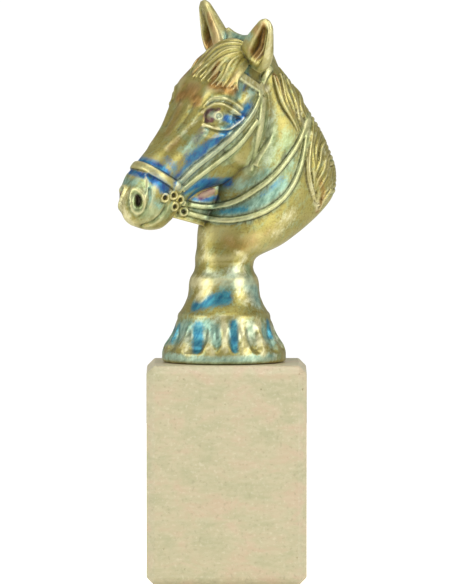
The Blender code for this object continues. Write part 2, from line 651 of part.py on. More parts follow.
def skirt_hollows():
    """The drops cut into the skirt, wider at the foot, as one cutting mesh."""
    flare = FOOT_RADIUS - SKIRT_TOP_RADIUS
    slope = math.atan2(flare, SKIRT_HEIGHT)
    surface = SKIRT_TOP_RADIUS + flare * smooth_rows(SKIRT_LINE, FLUTE_PLACE)[0, 0]
    middle = Vector((surface + FLUTE_ROUND - FLUTE_DEPTH, 0, SKIRT_TOP_Z - SKIRT_HEIGHT * FLUTE_PLACE))
    shape = bmesh.new()
    for rib, next_rib in zip(FOLD_RIBS, (*FOLD_RIBS[1:], FOLD_RIBS[0] + 360)):
        half_width = (surface * math.radians(next_rib - rib) - RIB_WIDTH) / 2
        size = Matrix.Diagonal((FLUTE_ROUND, half_width, FLUTE_HEIGHT / 2, 1))
        around = Matrix.Rotation(math.radians((rib + next_rib) / 2) - math.pi / 2, 4, "Z")
        place = around @ Matrix.Translation(middle) @ Matrix.Rotation(-slope, 4, "Y") @ size
        drop = bmesh.ops.create_uvsphere(shape, u_segments=12, v_segments=8, radius=1)
        for vert in drop["verts"]:
            vert.co.y *= 1 - FLUTE_TAPER * vert.co.z
            vert.co = place @ vert.co
    mesh = bpy.data.meshes.new("skirt_hollows")
    shape.to_mesh(mesh)
    shape.free()
    return mesh


def foot(cutters):
    """The turned foot with its fluted skirt."""
    outline = foot_profile()
    mesh = bpy.data.meshes.new("foot")
    mesh.from_pydata([(r, 0.0, z) for r, z in outline], [(i, i + 1) for i in range(len(outline) - 1)], [])
    turned = bpy.data.objects.new("foot", mesh)
    cutter = bpy.data.objects.new("skirt_hollows", skirt_hollows())
    for guide in (turned, cutter):
        cutters.objects.link(guide)
        guide.location.x = FOOT_OFFSET_X
        guide.hide_render = True
        guide.display_type = "WIRE"
    screw = turned.modifiers.new("turn", "SCREW")
    screw.steps = FOOT_SEGMENTS
    screw.render_steps = FOOT_SEGMENTS
    screw.use_merge_vertices = True
    screw.merge_threshold = 0.00001
    cut = turned.modifiers.new("hollows", "BOOLEAN")
    cut.operation = "DIFFERENCE"
    cut.object = cutter
    return turned


def material(name, colour, roughness, metallic):
    """A plain material with these values."""
    made = bpy.data.materials.new(name)
    made.use_nodes = True
    shader = made.node_tree.nodes["Principled BSDF"]
    shader.inputs["Base Color"].default_value = (*colour, 1)
    shader.inputs["Roughness"].default_value = roughness
    shader.inputs["Metallic"].default_value = metallic
    return made


def casting(parts, cutters):
    """The whole casting: the bust made one skin, and joined to its foot."""
    body = bust("horse_head_casting")
    parts.objects.link(body)
    bpy.context.scene.collection.objects.unlink(body)
    skin = body.modifiers.new("one_skin", "REMESH")
    skin.mode = "VOXEL"
    skin.voxel_size = FACET_SIZE
    fewer = body.modifiers.new("fewer_facets", "DECIMATE")
    fewer.ratio = FACETS_KEPT
    union = body.modifiers.new("foot", "BOOLEAN")
    union.operation = "UNION"
    union.object = foot(cutters)
    body.data.materials.append(material("patinated_brass", (0.36, 0.27, 0.07), 0.33, 1.0))
    body.data.shade_smooth()
    return body


def block(parts):
    """The marble block, every edge chamfered."""
    mesh = bpy.data.meshes.new("marble_block")
    shape = bmesh.new()
    bmesh.ops.create_cube(shape, size=1)
    size = Matrix.Diagonal((BLOCK_WIDTH, BLOCK_DEPTH, BLOCK_HEIGHT, 1))
    shape.transform(Matrix.Translation((0, 0, BLOCK_HEIGHT / 2)) @ size)
    shape.to_mesh(mesh)
    shape.free()
    stone = bpy.data.objects.new("marble_block", mesh)
    parts.objects.link(stone)
    chamfer = stone.modifiers.new("chamfer", "BEVEL")
    chamfer.width = BLOCK_CHAMFER
    chamfer.segments = 2
    mesh.materials.append(material("beige_marble", (0.62, 0.53, 0.40), 0.35, 0.0))
    return stone


def main():
    for old in list(bpy.data.objects):
        bpy.data.objects.remove(old, do_unlink=True)
    parts = bpy.data.collections.new("horse_trophy")
    cutters = bpy.data.collections.new("horse_trophy_cutters")
    bpy.context.scene.collection.children.link(parts)
    bpy.context.scene.collection.children.link(cutters)
    casting(parts, cutters)
    block(parts)


main()
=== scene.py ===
"""Horse trophy, the visual model: a gilt and patinated casting of a bridled horse's head, on its block.

Metres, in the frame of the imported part. The front of the block faces -Y.
"""

import math

import bmesh
import bpy
import numpy as np
from mathutils import Matrix, Vector
from mathutils.bvhtree import BVHTree


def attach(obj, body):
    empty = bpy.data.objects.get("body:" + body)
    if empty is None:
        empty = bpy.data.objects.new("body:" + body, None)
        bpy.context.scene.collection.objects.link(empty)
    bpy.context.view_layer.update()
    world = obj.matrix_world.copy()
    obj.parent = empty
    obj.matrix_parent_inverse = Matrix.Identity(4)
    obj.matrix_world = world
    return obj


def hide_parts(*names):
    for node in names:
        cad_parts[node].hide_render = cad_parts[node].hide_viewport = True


# Marble block
BLOCK_WIDTH = 0.073
BLOCK_DEPTH = 0.073
BLOCK_HEIGHT = 0.100
BLOCK_CHAMFER = 0.0035
BLOCK_EASE = 0.0006

# Turned foot of the casting, from its seat on the block up to the stem
SEAT_GAP = 0.0003
FOOT_OFFSET_X = -0.0012
FOOT_RADIUS = 0.0283
RIM_HEIGHT = 0.0041
SKIRT_HEIGHT = 0.0155
SKIRT_TOP_RADIUS = 0.0213
SKIRT_LINE = ((0.0, 0.03), (0.2, 0.17), (0.4, 0.33), (0.6, 0.60), (0.8, 0.89), (1.0, 1.0))
LIP_HEIGHT = 0.0032
LIP_STEP = 0.0013
WAIST_HEIGHT = 0.0069
COLLAR_RADIUS = 0.0160
COLLAR_HEIGHT = 0.0086
STEM_RADIUS = 0.0132
STEM_HEIGHT = 0.0092
EDGE_ROUND = 0.0008

# The bust. Its pose, proportions and carving are shares of the head's length, poll to upper lip.
HEAD_LENGTH = 0.100
HEAD_PITCH = math.radians(47.5)
HEAD_YAW = math.radians(40)
HEAD_ROLL = math.radians(8)
HEAD_PLACE = (0.093, -0.010, 0.991)
NECK_YAW = math.radians(22)

# Bridle, cast in relief
NOSEBAND_WIDTH = 0.0040
BROWBAND_WIDTH = 0.0042
STRAP_WIDTH = 0.0029
THROAT_STRAP_WIDTH = 0.0042
THROAT_BRANCH_WIDTH = 0.0024
REIN_WIDTH = 0.0025
STRAP_RELIEF = 0.0011
NOSEBAND_RELIEF = STRAP_RELIEF * 1.2
THROAT_BRANCH_RELIEF = STRAP_RELIEF * 0.6
STRAP_ROOT = 0.0030
EDGE_CHANNEL = 0.16
BIT_RING_RADIUS = 0.0017
BIT_WIRE_RADIUS = 0.00075

SEAT_Z = BLOCK_HEIGHT + SEAT_GAP
SKIRT_TOP_Z = SEAT_Z + RIM_HEIGHT + SKIRT_HEIGHT
LIP_TOP_Z = SKIRT_TOP_Z + LIP_HEIGHT
COLLAR_Z = LIP_TOP_Z + WAIST_HEIGHT
STEM_TOP_Z = COLLAR_Z + COLLAR_HEIGHT + STEM_HEIGHT
BUST_ORIGIN = np.array((FOOT_OFFSET_X, 0.0, STEM_TOP_Z))

# Head stations: place along the face from the poll, dorsal line, level of greatest width,
# lower line, half width there, squareness above and below it
HEAD_STATIONS = (
    (-0.06, -0.016, -0.12, -0.20, 0.050, 2.1, 2.1),
    (0.00, 0.026, -0.10, -0.33, 0.080, 2.2, 2.3),
    (0.08, 0.062, -0.08, -0.42, 0.112, 2.4, 2.6),
    (0.18, 0.077, -0.05, -0.47, 0.146, 2.6, 2.9),
    (0.30, 0.074, -0.03, -0.482, 0.160, 2.7, 3.4),
    (0.42, 0.044, -0.05, -0.445, 0.150, 2.5, 3.7),
    (0.54, 0.023, -0.07, -0.372, 0.128, 2.3, 3.8),
    (0.66, 0.020, -0.08, -0.300, 0.109, 2.3, 3.0),
    (0.76, 0.025, -0.08, -0.284, 0.099, 2.3, 2.3),
    (0.86, 0.012, -0.08, -0.284, 0.097, 2.4, 2.3),
    (0.93, -0.014, -0.09, -0.258, 0.086, 2.4, 2.4),
    (0.975, -0.046, -0.10, -0.206, 0.062, 2.3, 2.3),
    (1.003, -0.084, -0.12, -0.150, 0.028, 2.1, 2.1),
)
# Along the head, where it starts to round off behind the ears and where it ends
HEAD_DOME = (-0.02, -0.08)

# Neck stations: height above the stem, front edge, back edge, half thickness, lean to the left side
NECK_STATIONS = (
    (-0.08, -0.131, 0.130, 0.128, 0.000),
    (-0.04, -0.132, 0.134, 0.129, 0.000),
    (0.00, -0.133, 0.152, 0.133, 0.000),
    (0.05, -0.127, 0.267, 0.137, 0.001),
    (0.10, -0.126, 0.348, 0.141, 0.002),
    (0.15, -0.120, 0.416, 0.143, 0.003),
    (0.20, -0.097, 0.473, 0.144, 0.005),
    (0.27, -0.060, 0.530, 0.144, 0.008),
    (0.34, -0.045, 0.543, 0.142, 0.013),
    (0.40, -0.030, 0.538, 0.140, 0.016),
    (0.51, 0.030, 0.493, 0.130, 0.024),
    (0.61, 0.070, 0.436, 0.120, 0.032),
    (0.70, 0.090, 0.370, 0.110, 0.040),
    (0.78, 0.090, 0.318, 0.100, 0.047),
    (0.86, 0.070, 0.248, 0.088, 0.055),
    (0.92, 0.075, 0.195, 0.060, 0.060),
)

# Ears, in the head's own directions: root and tip of the left one, how much higher the right one is
# pricked and the left one less; half width and hollow along it
EAR_ROOT = (0.091, -0.028, 0.120)
EAR_TIP = (-0.055, 0.149, 0.232)
EAR_LIFT = (-0.0045, 0.0055, 0.0)
EAR_STATIONS = (
    (0.00, 0.060, 0.0),
    (0.15, 0.080, 0.2),
    (0.35, 0.082, 1.0),
    (0.60, 0.065, 1.0),
    (0.80, 0.048, 0.7),
    (0.94, 0.032, 0.0),
    (1.00, 0.016, 0.0),
)
EAR_DEPTH = 0.62
EAR_TURN = math.radians(12)
EAR_HOLLOW = (0.22, 0.54, 0.24)
EAR_DISH = 0.95
EAR_RIDGE = 0.10
EAR_RIDGES = 9

# Relief of the face, in the head's own directions on its left side
TEMPLE_CENTRE = (0.335, 0.02)
TEMPLE_HEIGHT = 0.010
TEMPLE_REACH = 0.06
CHEEK_CENTRE = (0.29, -0.25)
CHEEK_REACH = 0.185
CHEEK_HEIGHT = 0.012
HOLLOW_CENTRE = (0.60, -0.085)
HOLLOW_REACH = (0.16, 0.05)
HOLLOW_DEPTH = 0.008

# Eye and nostril by pixels of the picture, their heights and depths as shares of the head's length
EYE_TOP = ((204, 116), (206, 111.5), (210, 109), (219, 107.3), (227, 110.5), (234, 115), (240, 118))
EYE_LOW = ((204, 123), (208, 124.8), (215, 126.9), (222.5, 126.9), (230, 123.8), (240, 118))
EYE_SINK = 0.012
EYEBALL_CENTRE = (218.1, 116.6)
EYEBALL_RADIUS = 15
EYEBALL_HEIGHT = 0.013
IRIS_RADIUS = 3.7
IRIS_RIM = 0.006
NOSTRIL_CENTRE = (138.2, 201.5)
NOSTRIL_SIZE = (4.8, 8.2)
NOSTRIL_BEND = 1.6
NOSTRIL_DEPTH = 0.030
NOSTRIL_RIM = 0.007

# Ridges and creases of the face: line by pixels of the picture, height, half width in pixels
FACE_LINES = (
    (((205, 107.5), (212, 100.5), (222, 98.8), (232, 102), (240, 109)), 0.007, 2.0),
    (((206, 108.5), (212.5, 103.4), (221.5, 101.9), (231, 105.4), (238, 111.5)), -0.006, 1.2),
    (((202.5, 113.5), (207.5, 108.8), (215, 105), (222.5, 105), (230, 108.6), (238, 114)), 0.009, 1.6),
    (
        ((203.5, 125.8), (208.8, 127), (215, 129), (221, 130), (227.5, 128.6), (235, 124), (242, 118)),
        0.009,
        1.6,
    ),
    (((206, 129), (213, 132), (221, 133.2), (230, 131), (237, 126)), -0.005, 1.3),
    (((205, 137), (214, 138.5), (222, 136)), 0.004, 1.6),
    (((200.6, 115), (195, 122.5), (186, 130.5), (177, 139.5), (167.5, 149)), 0.006, 4.2),
    (((187.5, 106), (180, 117.5), (170, 132.5)), 0.004, 2.4),
    (((194, 104), (188, 116), (178, 130)), -0.003, 2.0),
    (((146.3, 176), (147.2, 187), (146, 197)), 0.007, 2.6),
    (((149.6, 190), (150.4, 200), (147, 209)), -0.005, 1.4),
    (((118.5, 204.8), (125, 205.2), (131, 204.4)), -0.005, 1.1),
    (((121, 197.5), (126, 199.5), (130.5, 201)), -0.004, 1.0),
    (((121, 212), (126, 210), (130.5, 208)), -0.004, 1.0),
    (((168.4, 197), (166, 208), (161, 216.5), (152, 223.5), (142, 226.5)), -0.010, 1.5),
    (((134, 169), (140, 174), (150, 178)), -0.003, 2.0),
)

# Webs: the wall between jaw and neck, from its lower edge up, and the one between the ears
THROAT_WEB_PLACES = (0.838, 0.415)
THROAT_WEB_HEIGHTS = (0.130, 0.475)
THROAT_WEB_THICKNESS = (0.048, 0.015)
POLL_WEB_CENTRE = (0.063, -0.027)
POLL_WEB_REACH = 0.095
POLL_WEB_HEIGHT = 0.094
POLL_WEB_RISE = 0.019
POLL_WEB_THICKNESS = 0.034

# Bridle lines as seen from the front of the block, looking a little down: across and up from the
# top of the stem
FRONT_VIEW_DROP = math.radians(3)
CHEEK_STRAP = (
    (-0.21, 0.333), (-0.153, 0.392), (-0.033, 0.489), (0.061, 0.573), (0.129, 0.657), (0.166, 0.74),
)
LOWER_STRAP = ((-0.192, 0.306), (-0.153, 0.341), (-0.05, 0.42), (0.073, 0.521), (0.151, 0.626))
CROWN_STRAP = ((0.212, 0.866), (0.187, 0.827), (0.169, 0.781), (0.16, 0.736))
THROAT_STRAP = ((0.178, 0.731), (0.165, 0.608), (0.146, 0.493), (0.121, 0.397))
THROAT_BRANCH = ((0.229, 0.589), (0.2, 0.516), (0.168, 0.471), (0.142, 0.42))
UPPER_REIN = (
    (-0.187, 0.247), (-0.11, 0.233), (-0.027, 0.233), (0.055, 0.256), (0.139, 0.306),
    (0.223, 0.37), (0.279, 0.434), (0.334, 0.516), (0.378, 0.617), (0.388, 0.645),
)
LOWER_REIN = (
    (-0.178, 0.205), (-0.11, 0.187), (-0.043, 0.172), (0.027, 0.169), (0.112, 0.183),
    (0.195, 0.215), (0.267, 0.269), (0.322, 0.347), (0.357, 0.448), (0.373, 0.544), (0.388, 0.63),
)
# Straps of each side: line, width, relief, and how much their ends narrow
SIDE_STRAPS = (
    (CHEEK_STRAP, STRAP_WIDTH, STRAP_RELIEF, 0),
    (LOWER_STRAP, STRAP_WIDTH, STRAP_RELIEF, 0),
    (CROWN_STRAP, STRAP_WIDTH, STRAP_RELIEF, 0),
    (THROAT_STRAP, THROAT_STRAP_WIDTH, STRAP_RELIEF, 0.75),
    (THROAT_BRANCH[::-1], THROAT_BRANCH_WIDTH, THROAT_BRANCH_RELIEF, 0.9),
    (UPPER_REIN, REIN_WIDTH, STRAP_RELIEF, 0),
    (LOWER_REIN, REIN_WIDTH, STRAP_RELIEF, 0),
)
NOSEBAND_PLACE = 0.787
NOSEBAND_REACH = math.radians(112)
BROWBAND_PLACE = 0.185
BROWBAND_REACH = math.radians(97)
BROWBAND_FAR_REACH = math.radians(118)
BAND_SLANT = 0.26

# Fineness of the finished casting: cells of the skin that joins its shells, and triangles kept
CELL = 0.00036
TRIANGLES = 188000

# Rows along each bare skin, and points round each row
HEAD_GRID = (420, 400)
NECK_GRID = (150, 160)
THROAT_WEB_GRID = (30, 48)
POLL_WEB_GRID = (24, 40)
FOOT_GRID = (330, 540)
EAR_GRID = (90, 160)
BAND_ROWS = 90

# Where the camera's picture, 452 x 584 pixels, shows the object
IMAGE = (452, 584)
PIXEL = 0.0004571
MIDDLE_X = 226.6
UNDERSIDE_Y = 580.3

# Folds of the foot's skirt
FOLD_RIBS = (-98, -73, -48, -15, 1, 22, 45, 68, 92, 116, 140, 165, 190, 215, 239)
FOLD_DEPTH = 0.0021
RIB_HALF = 3.8

# Bit: rings and the fitting that the straps meet in, by pixels of the picture
BIT_RINGS = ((164.7, 198.0), (173.2, 195.4), (179.6, 199.9), (174.3, 206.6), (183.3, 211.7))
BIT_FITTING = ((176.0, 181.0), (176.3, 186.4), (175.2, 192.5))
BIT_FITTING_WIDTH = 0.0046
BIT_FITTING_RELIEF = 0.0019
BIT_TURN = 0.5

# Hair: guide lines by pixels of the picture, with the locks drawn between them
FORELOCK_GUIDES = (
    ((245, 44), (234, 41.5), (222, 43.5), (212, 50), (203, 58), (194, 67), (189, 73)),
    ((246, 47), (234, 44), (221, 47.5), (211, 54.5), (202, 62), (195, 69), (190.5, 76)),
    ((246, 50), (231, 50), (219, 56), (209, 64), (201, 71), (196, 75), (191.5, 79)),
    ((246, 53), (232, 57), (222, 62.5), (213, 69), (208, 75), (205, 79), (200, 83)),
    ((246, 55), (236, 60), (229, 67), (226, 74), (223, 80), (220, 84), (216, 88)),
    ((247, 57), (240, 63), (235, 70), (231, 77), (228, 82), (226, 85), (222, 89)),
    ((248, 59), (242, 66), (238, 73), (236, 79), (234, 83), (231.5, 86), (228, 90)),
    ((249, 61), (243, 69), (239, 76), (237, 82), (237, 86), (238, 90), (240, 94)),
)
FORELOCK_LOCKS = 20
FORELOCK_WIDTH = 0.0024
MANE_TOP_GUIDES = (
    ((272, 74), (274, 86), (279, 99), (288, 115), (298, 133)),
    ((278, 73), (282, 87), (286, 100), (291, 114), (299, 131)),
    ((284, 76), (288, 88), (291, 101), (295, 113), (301, 126)),
    ((290, 82), (293, 92), (296, 102), (299, 112), (304, 121)),
    ((294, 88), (298, 97), (301, 105), (303, 111), (307, 117)),
)
MANE_TOP_LOCKS = 10
MANE_LOW_GUIDES = (
    ((311, 120), (308, 137), (306.5, 155), (308, 178), (314, 204)),
    ((316, 124), (312, 142), (311.5, 160), (313, 178), (317, 196)),
    ((321, 134), (317, 147), (314.5, 159), (314, 171), (316, 184)),
    ((327, 146), (322, 157), (318, 167), (315.5, 177), (316, 190)),
    ((331, 157), (325.5, 168), (321, 177), (317.5, 187), (317, 198)),
    ((333, 170), (328, 179), (324, 187), (320, 194), (318, 204)),
    ((332, 182), (328, 190), (324, 198), (320, 205), (317, 212)),
)
MANE_LOW_LOCKS = 18
MANE_WIDTH = 0.0020
LOCK_RELIEF = 0.0018
LOCK_SWAY = 0.006
LOCK_ENDS = 0.8

# Hair by its guide lines: number of locks, width, seed, and whether both sides have it
HAIR = (
    (FORELOCK_GUIDES, FORELOCK_LOCKS, FORELOCK_WIDTH, 3, False),
    (MANE_TOP_GUIDES, MANE_TOP_LOCKS, MANE_WIDTH, 4, True),
    (MANE_LOW_GUIDES, MANE_LOW_LOCKS, MANE_WIDTH, 5, True),
)

# Short locks over the crest: between which heights on the neck, how far round it, and how raised
CREST_LOCKS = 30
CREST_SPAN = (0.30, 0.86)
CREST_TURN = 40
CREST_PLACES = 24
CREST_SEED = 7
CREST_RELIEF = LOCK_RELIEF * 0.45

# Pits in the marble, by place and radius
PITS = (
    ((0.0242, -0.0350, 0.0986), 0.00070),
    ((0.0157, -0.0365, 0.0895), 0.00045),
    ((-0.0007, -0.0365, 0.0826), 0.00035),
    ((-0.0195, -0.0365, 0.0942), 0.00040),
    ((-0.0265, -0.0365, 0.0887), 0.00030),
    ((0.0330, -0.0362, 0.0965), 0.00045),
    ((0.0345, -0.0350, 0.0894), 0.00050),
    ((0.0319, -0.0365, 0.0909), 0.00030),
    ((0.0321, -0.0365, 0.0129), 0.00040),
    ((0.0319, -0.0365, 0.0156), 0.00028),
    ((-0.0286, -0.0365, 0.0168), 0.00040),
    ((-0.0328, -0.0365, 0.0119), 0.00035),
    ((-0.0191, -0.0365, 0.0077), 0.00035),
    ((-0.0365, 0.0110, 0.0640), 0.00060),
    ((0.0365, -0.0070, 0.0310), 0.00050),
    ((-0.0140, 0.0365, 0.0450), 0.00065),
    ((0.0205, 0.0365, 0.0820), 0.00040),
)

# Patina, and painted highlight and shade: lines by pixels of the picture, how many pixels each patch reaches
# from its line, and strength
PATINA = {
    "sage": (
        (((228, 122), (236, 140), (226, 158)), 13, 0.8),
        (((212, 150), (204, 168)), 8, 0.5),
        (((146, 186), (136, 204), (150, 213), (164, 212)), 13, 0.8),
        (((262, 116), (272, 140), (268, 160)), 12, 0.75),
        (((288, 140), (286, 165), (262, 188)), 13, 0.75),
        (((300, 160), (292, 190), (262, 208)), 8, 0.6),
        (((248, 268), (252, 286), (256, 304)), 7, 0.8),
        (((166, 357), (224, 361), (280, 356)), 5, 0.7),
        (((222, 52), (236, 50)), 4, 0.5),
        (((150, 222), (168, 216)), 6, 0.7),
        (((246, 66), (248, 74)), 4, 0.6),
        (((133, 166), (146, 169), (158, 176), (168, 186)), 4, 0.7),
        (((180, 328), (224, 334), (268, 328)), 16, 0.8),
        (((208, 278), (240, 276)), 8, 0.5),
        (((200, 62), (188, 76)), 5, 0.4),
        (((214, 100), (224, 98), (236, 100)), 4, 0.7),
        (((180, 134), (190, 140), (200, 136)), 6, 0.6),
    ),
    "mist": (
        (((165, 338), (200, 332), (224, 331), (250, 332), (285, 338)), 17, 0.72),
        (((162, 356), (200, 360), (240, 360), (286, 356)), 5, 0.95),
        (((236, 274), (248, 284), (256, 300)), 13, 0.85),
        (((206, 274), (222, 280), (238, 282)), 8, 0.6),
        (((190, 296), (192, 286)), 7, 0.5),
        (((212, 115), (224, 119)), 6, 0.9),
        (((208, 105), (218, 101.5), (230, 104)), 3, 0.5),
        (((252, 92), (246, 108), (236, 112)), 8, 0.6),
        (((268, 96), (272, 130), (266, 160)), 9, 0.35),
        (((170, 190), (180, 186)), 5, 0.5),
    ),
    "brown": (
        (((184, 83), (182, 96), (178, 112), (168, 134)), 8, 0.45),
        (((256, 30), (261, 40), (257, 56)), 5, 1.0),
        (((214, 50), (204, 62), (194, 74)), 6, 0.5),
        (((232, 60), (226, 72)), 4, 0.4),
        (((190, 88), (197, 102)), 9, 0.8),
        (((212, 86), (226, 90), (236, 91)), 7, 0.9),
        (((219, 64), (214, 78)), 5, 1.0),
        (((236, 74), (230, 84)), 5, 0.8),
        (((209, 16), (213, 28), (219, 40)), 5, 1.0),
        (((263, 26), (262, 38), (260, 54)), 4.5, 1.0),
        (((250, 50), (257, 58)), 5, 0.7),
        (((228, 240), (242, 246), (254, 240)), 12, 0.5),
        (((262, 236), (275, 228)), 8, 0.4),
        (((274, 76), (282, 96), (292, 116)), 4, 0.9),
        (((285, 92), (294, 112)), 3, 0.6),
        (((318, 178), (322, 196), (318, 210)), 5, 0.8),
        (((306, 130), (310, 142)), 4, 0.6),
        (((178, 140), (170, 150)), 6, 0.5),
    ),
    "teal": (
        (((226, 36), (240, 37), (248, 36)), 7, 0.9),
        (((247, 70), (242, 84), (238, 96)), 6, 0.8),
        (((250, 84), (252, 98), (246, 108)), 7, 0.6),
        (((206, 208), (232, 210), (262, 200), (284, 186)), 10, 0.9),
        (((220, 186), (244, 184), (266, 172)), 9, 0.7),
        (((286, 150), (292, 160), (288, 176)), 9, 0.4),
        (((186, 192), (196, 186), (205, 178)), 8, 0.8),
        (((124, 182), (134, 182), (140, 178)), 7, 0.7),
        (((150, 188), (153, 202), (160, 206)), 6, 0.6),
        (((222, 130), (236, 124)), 4, 0.9),
        (((186, 176), (206, 156), (226, 138)), 12, 0.8),
        (((196, 207), (215, 211), (240, 210)), 7, 1.0),
        (((206, 132), (196, 142), (184, 152)), 7, 0.6),
        (((224, 290), (236, 282), (252, 284), (258, 300)), 10, 0.7),
        (((168, 340), (180, 330), (188, 326)), 10, 0.7),
        (((206, 324), (214, 330), (218, 344)), 8, 0.8),
        (((164, 356), (200, 359), (240, 360), (272, 356)), 6, 0.6),
        (((262, 330), (272, 344)), 8, 0.7),
        (((196, 148), (186, 158)), 5, 0.6),
    ),
    "blue": (
        (((178, 182), (188, 172), (200, 160), (214, 148), (228, 136), (240, 124), (249, 110)), 9.5, 1.0),
        (((190, 160), (206, 148), (218, 140)), 8, 0.75),
        (((226, 119), (236, 121), (248, 108)), 5, 1.0),
        (((134, 160), (146, 161), (158, 166), (168, 174)), 5, 0.85),
        (((136, 174), (148, 177)), 4, 1.0),
        (((152, 178), (160, 184), (166, 190)), 7, 1.0),
        (((186, 190), (196, 185), (210, 183), (228, 182)), 7, 1.0),
        (((176, 170), (168, 160)), 6, 0.5),
        (((262, 194), (274, 186), (282, 178)), 5, 0.45),
        (((248, 76), (244, 90)), 4, 0.6),
        (((190, 198), (200, 190), (214, 186)), 6, 1.0),
        (((194, 200), (206, 200), (217, 198)), 4, 0.8),
    ),
    "cyan": (
        (((222, 211), (246, 209)), 5, 0.7),
        (((196, 306), (206, 302), (226, 298)), 9, 0.95),
        (((198, 328), (198, 350)), 8, 1.0),
        (((234, 324), (234, 350)), 5.5, 1.0),
        (((268, 322), (270, 336)), 5, 0.8),
        (((179, 326), (172, 342)), 5, 0.6),
        (((204, 218), (232, 222), (250, 218)), 5, 0.6),
    ),
    # Wine: partly a wine-red film, partly painted shade in the eye's socket, the nostril and the recess by
    # the jaw
    "wine": (
        (((206, 122), (206, 114), (211, 111), (219, 110)), 3.5, 0.7),
        (((212, 121), (208, 120)), 4, 0.8),
        (((202, 132), (196, 142)), 6, 0.5),
        (((201, 197), (212, 191)), 5, 1.0),
        (((138, 197), (139, 205)), 4, 0.8),
        (((252, 136), (250, 148)), 4, 0.4),
        (((188, 152), (180, 164)), 5, 0.35),
    ),
    # Pale: mostly painted highlight on the muzzle front, nostril rim, ear rims, lower lid, nose ridge, neck,
    # collar and the foot's ribs; partly the pale gilt of the browband, cheek strap, mane and the light specks
    # by the stem
    "pale": (
        (((126, 194), (121, 204), (127, 216)), 7, 0.8),
        (((142, 190), (145, 202)), 4, 0.5),
        (((276, 232), (284, 222), (292, 214)), 9, 0.6),
        (((202, 236), (204, 256)), 8, 0.5),
        (((194, 282), (206, 286), (200, 296)), 9, 0.9),
        (((242, 272), (240, 290), (246, 300)), 8, 0.6),
        (((224, 318), (225, 350)), 4.5, 0.9),
        (((242, 322), (245, 350)), 6, 0.85),
        (((258, 322), (263, 352)), 6, 0.95),
        (((184, 346), (188, 354)), 6, 0.7),
        (((208, 346), (212, 353)), 5, 0.7),
        (((269, 20), (271, 44), (267, 58)), 3, 1.0),
        (((216, 14), (224, 26), (231, 38)), 4, 0.5),
        (((203, 10), (204, 30)), 2.5, 0.6),
        (((243, 79), (254, 85), (265, 90)), 6, 1.0),
        (((264, 84), (262, 110), (258, 134)), 5, 0.6),
        (((306, 150), (308, 175), (318, 208)), 4, 0.9),
        (((292, 92), (300, 112)), 4, 0.7),
        (((280, 84), (288, 104)), 3, 0.7),
        (((322, 150), (330, 165)), 4, 0.6),
        (((284, 92), (300, 118), (314, 142)), 6, 0.5),
        (((322, 160), (328, 180), (324, 200)), 6, 0.5),
        (((236, 252), (246, 258), (240, 262)), 4, 0.7),
        (((204, 126), (210, 128), (219, 129.5)), 2.5, 0.9),
        (((196, 122), (186, 131), (172, 144)), 3.5, 0.35),
    ),
    # Painted shade: dark spots at the middle of each bit ring, for the shadow in its hole
    "shade": tuple((((x, y - 0.5), (x, y + 0.5)), 1.6, 1.0) for x, y in BIT_RINGS),
}
TINTS = (
    ("sage", "#768A5C", "#B2C292", 0.85),
    ("mist", "#93A98E", "#DDE3C4", 0.85),
    ("brown", "#7C5022", "#B28446", 0.80),
    ("teal", "#5E8C80", "#A0C6B0", 0.85),
    ("blue", "#15509A", "#2F88AE", 0.94),
    ("cyan", "#13688A", "#3F98A8", 0.94),
    # Wine: part wine-red film, part painted shade
    ("wine", "#3A2438", "#6C3446", 0.92),
    ("strap", "#7F9060", "#C3CB98", 0.75),
    # Pale: mostly painted highlight, partly pale gilt
    ("pale", "#C2B774", "#EFE8B8", 0.80),
    # Shade: painted shade in the holes of the bit's rings
    ("shade", "#3A3226", "#564A34", 0.85),
)
# How ragged a tint's edge is, and over which strengths it comes in past that
RAGGED = 0.65
TINT_EDGE = (0.10, 0.80)
STREAK_LEAN = math.radians(38)
STREAK_LENGTH = 2.4
FINE_PASSES = 10
FINE_DEPTH = 0.00022
BROAD_PASSES = 90
BROAD_DEPTH = 0.0011
# How much the painted highlight and painted shade of the ridges and hollows are eased on the foot
FOOT_SHADE_AND_HIGHLIGHT_EASING = 0.6

# Coats over the bare gold and over the tints: what each follows, where it starts and is full, how
# strong it gets, and its colour
GOLD = ("#7F7634", "#C0B569")
FILM_COAT = (0.50, 0.64, 0.60, "#9CAA78")
DUST_COAT = (0.50, 0.30, 0.50, "#705A24")
# Pale yellow where the skin stands proud: part rubbed gilt, part painted highlight
RUBBED_AND_HIGHLIGHT_COAT = (-0.15, -1.0, 0.62, "#F3E9AE")
# Painted shade: darker brown down in the broad hollows
DEEP_PAINTED_SHADE = (0.15, 1.0, 0.35, "#4A3A1E")
# Painted shade: near black in creases and small hollows
SUNK_PAINTED_SHADE = (0.12, 1.0, 0.78, "#3A3828")

# Marble: its clouds' colours with their places on the ramp, and the coats over them
CLOUDS = ((0.36, "#BBB68F"), (0.50, "#C6BC97"), (0.64, "#CDB898"))
BED_COAT = (0.42, 0.66, 0.30, "#D9CFAE")
DARK_SPECKS = (0.60, 0.72, 0.32, "#9A8E70")
LIGHT_SPECKS = (0.40, 0.28, 0.35, "#E2DAC0")

# Room and lamps: place, aim, size, power and tint of each
ROOM_LIGHT = 0.42
BACKDROP = 1.05
FLOOR_GLOW = 0.15
FLOOR_HALF = 1.2
CAMERA_AWAY = 8.0
LAMPS = (
    ("left_softbox", (-0.75, -0.45, 0.45), (0.0, 0.0, 0.17), (0.5, 0.7), 3.6, "#FFFFFF"),
    ("right_softbox", (0.75, -0.55, 0.40), (0.0, 0.0, 0.17), (0.4, 0.7), 4.0, "#FFFFFF"),
    ("top_softbox", (0.0, -0.15, 0.95), (0.0, 0.0, 0.2), (0.7, 0.5), 2.6, "#FFFFFF"),
)


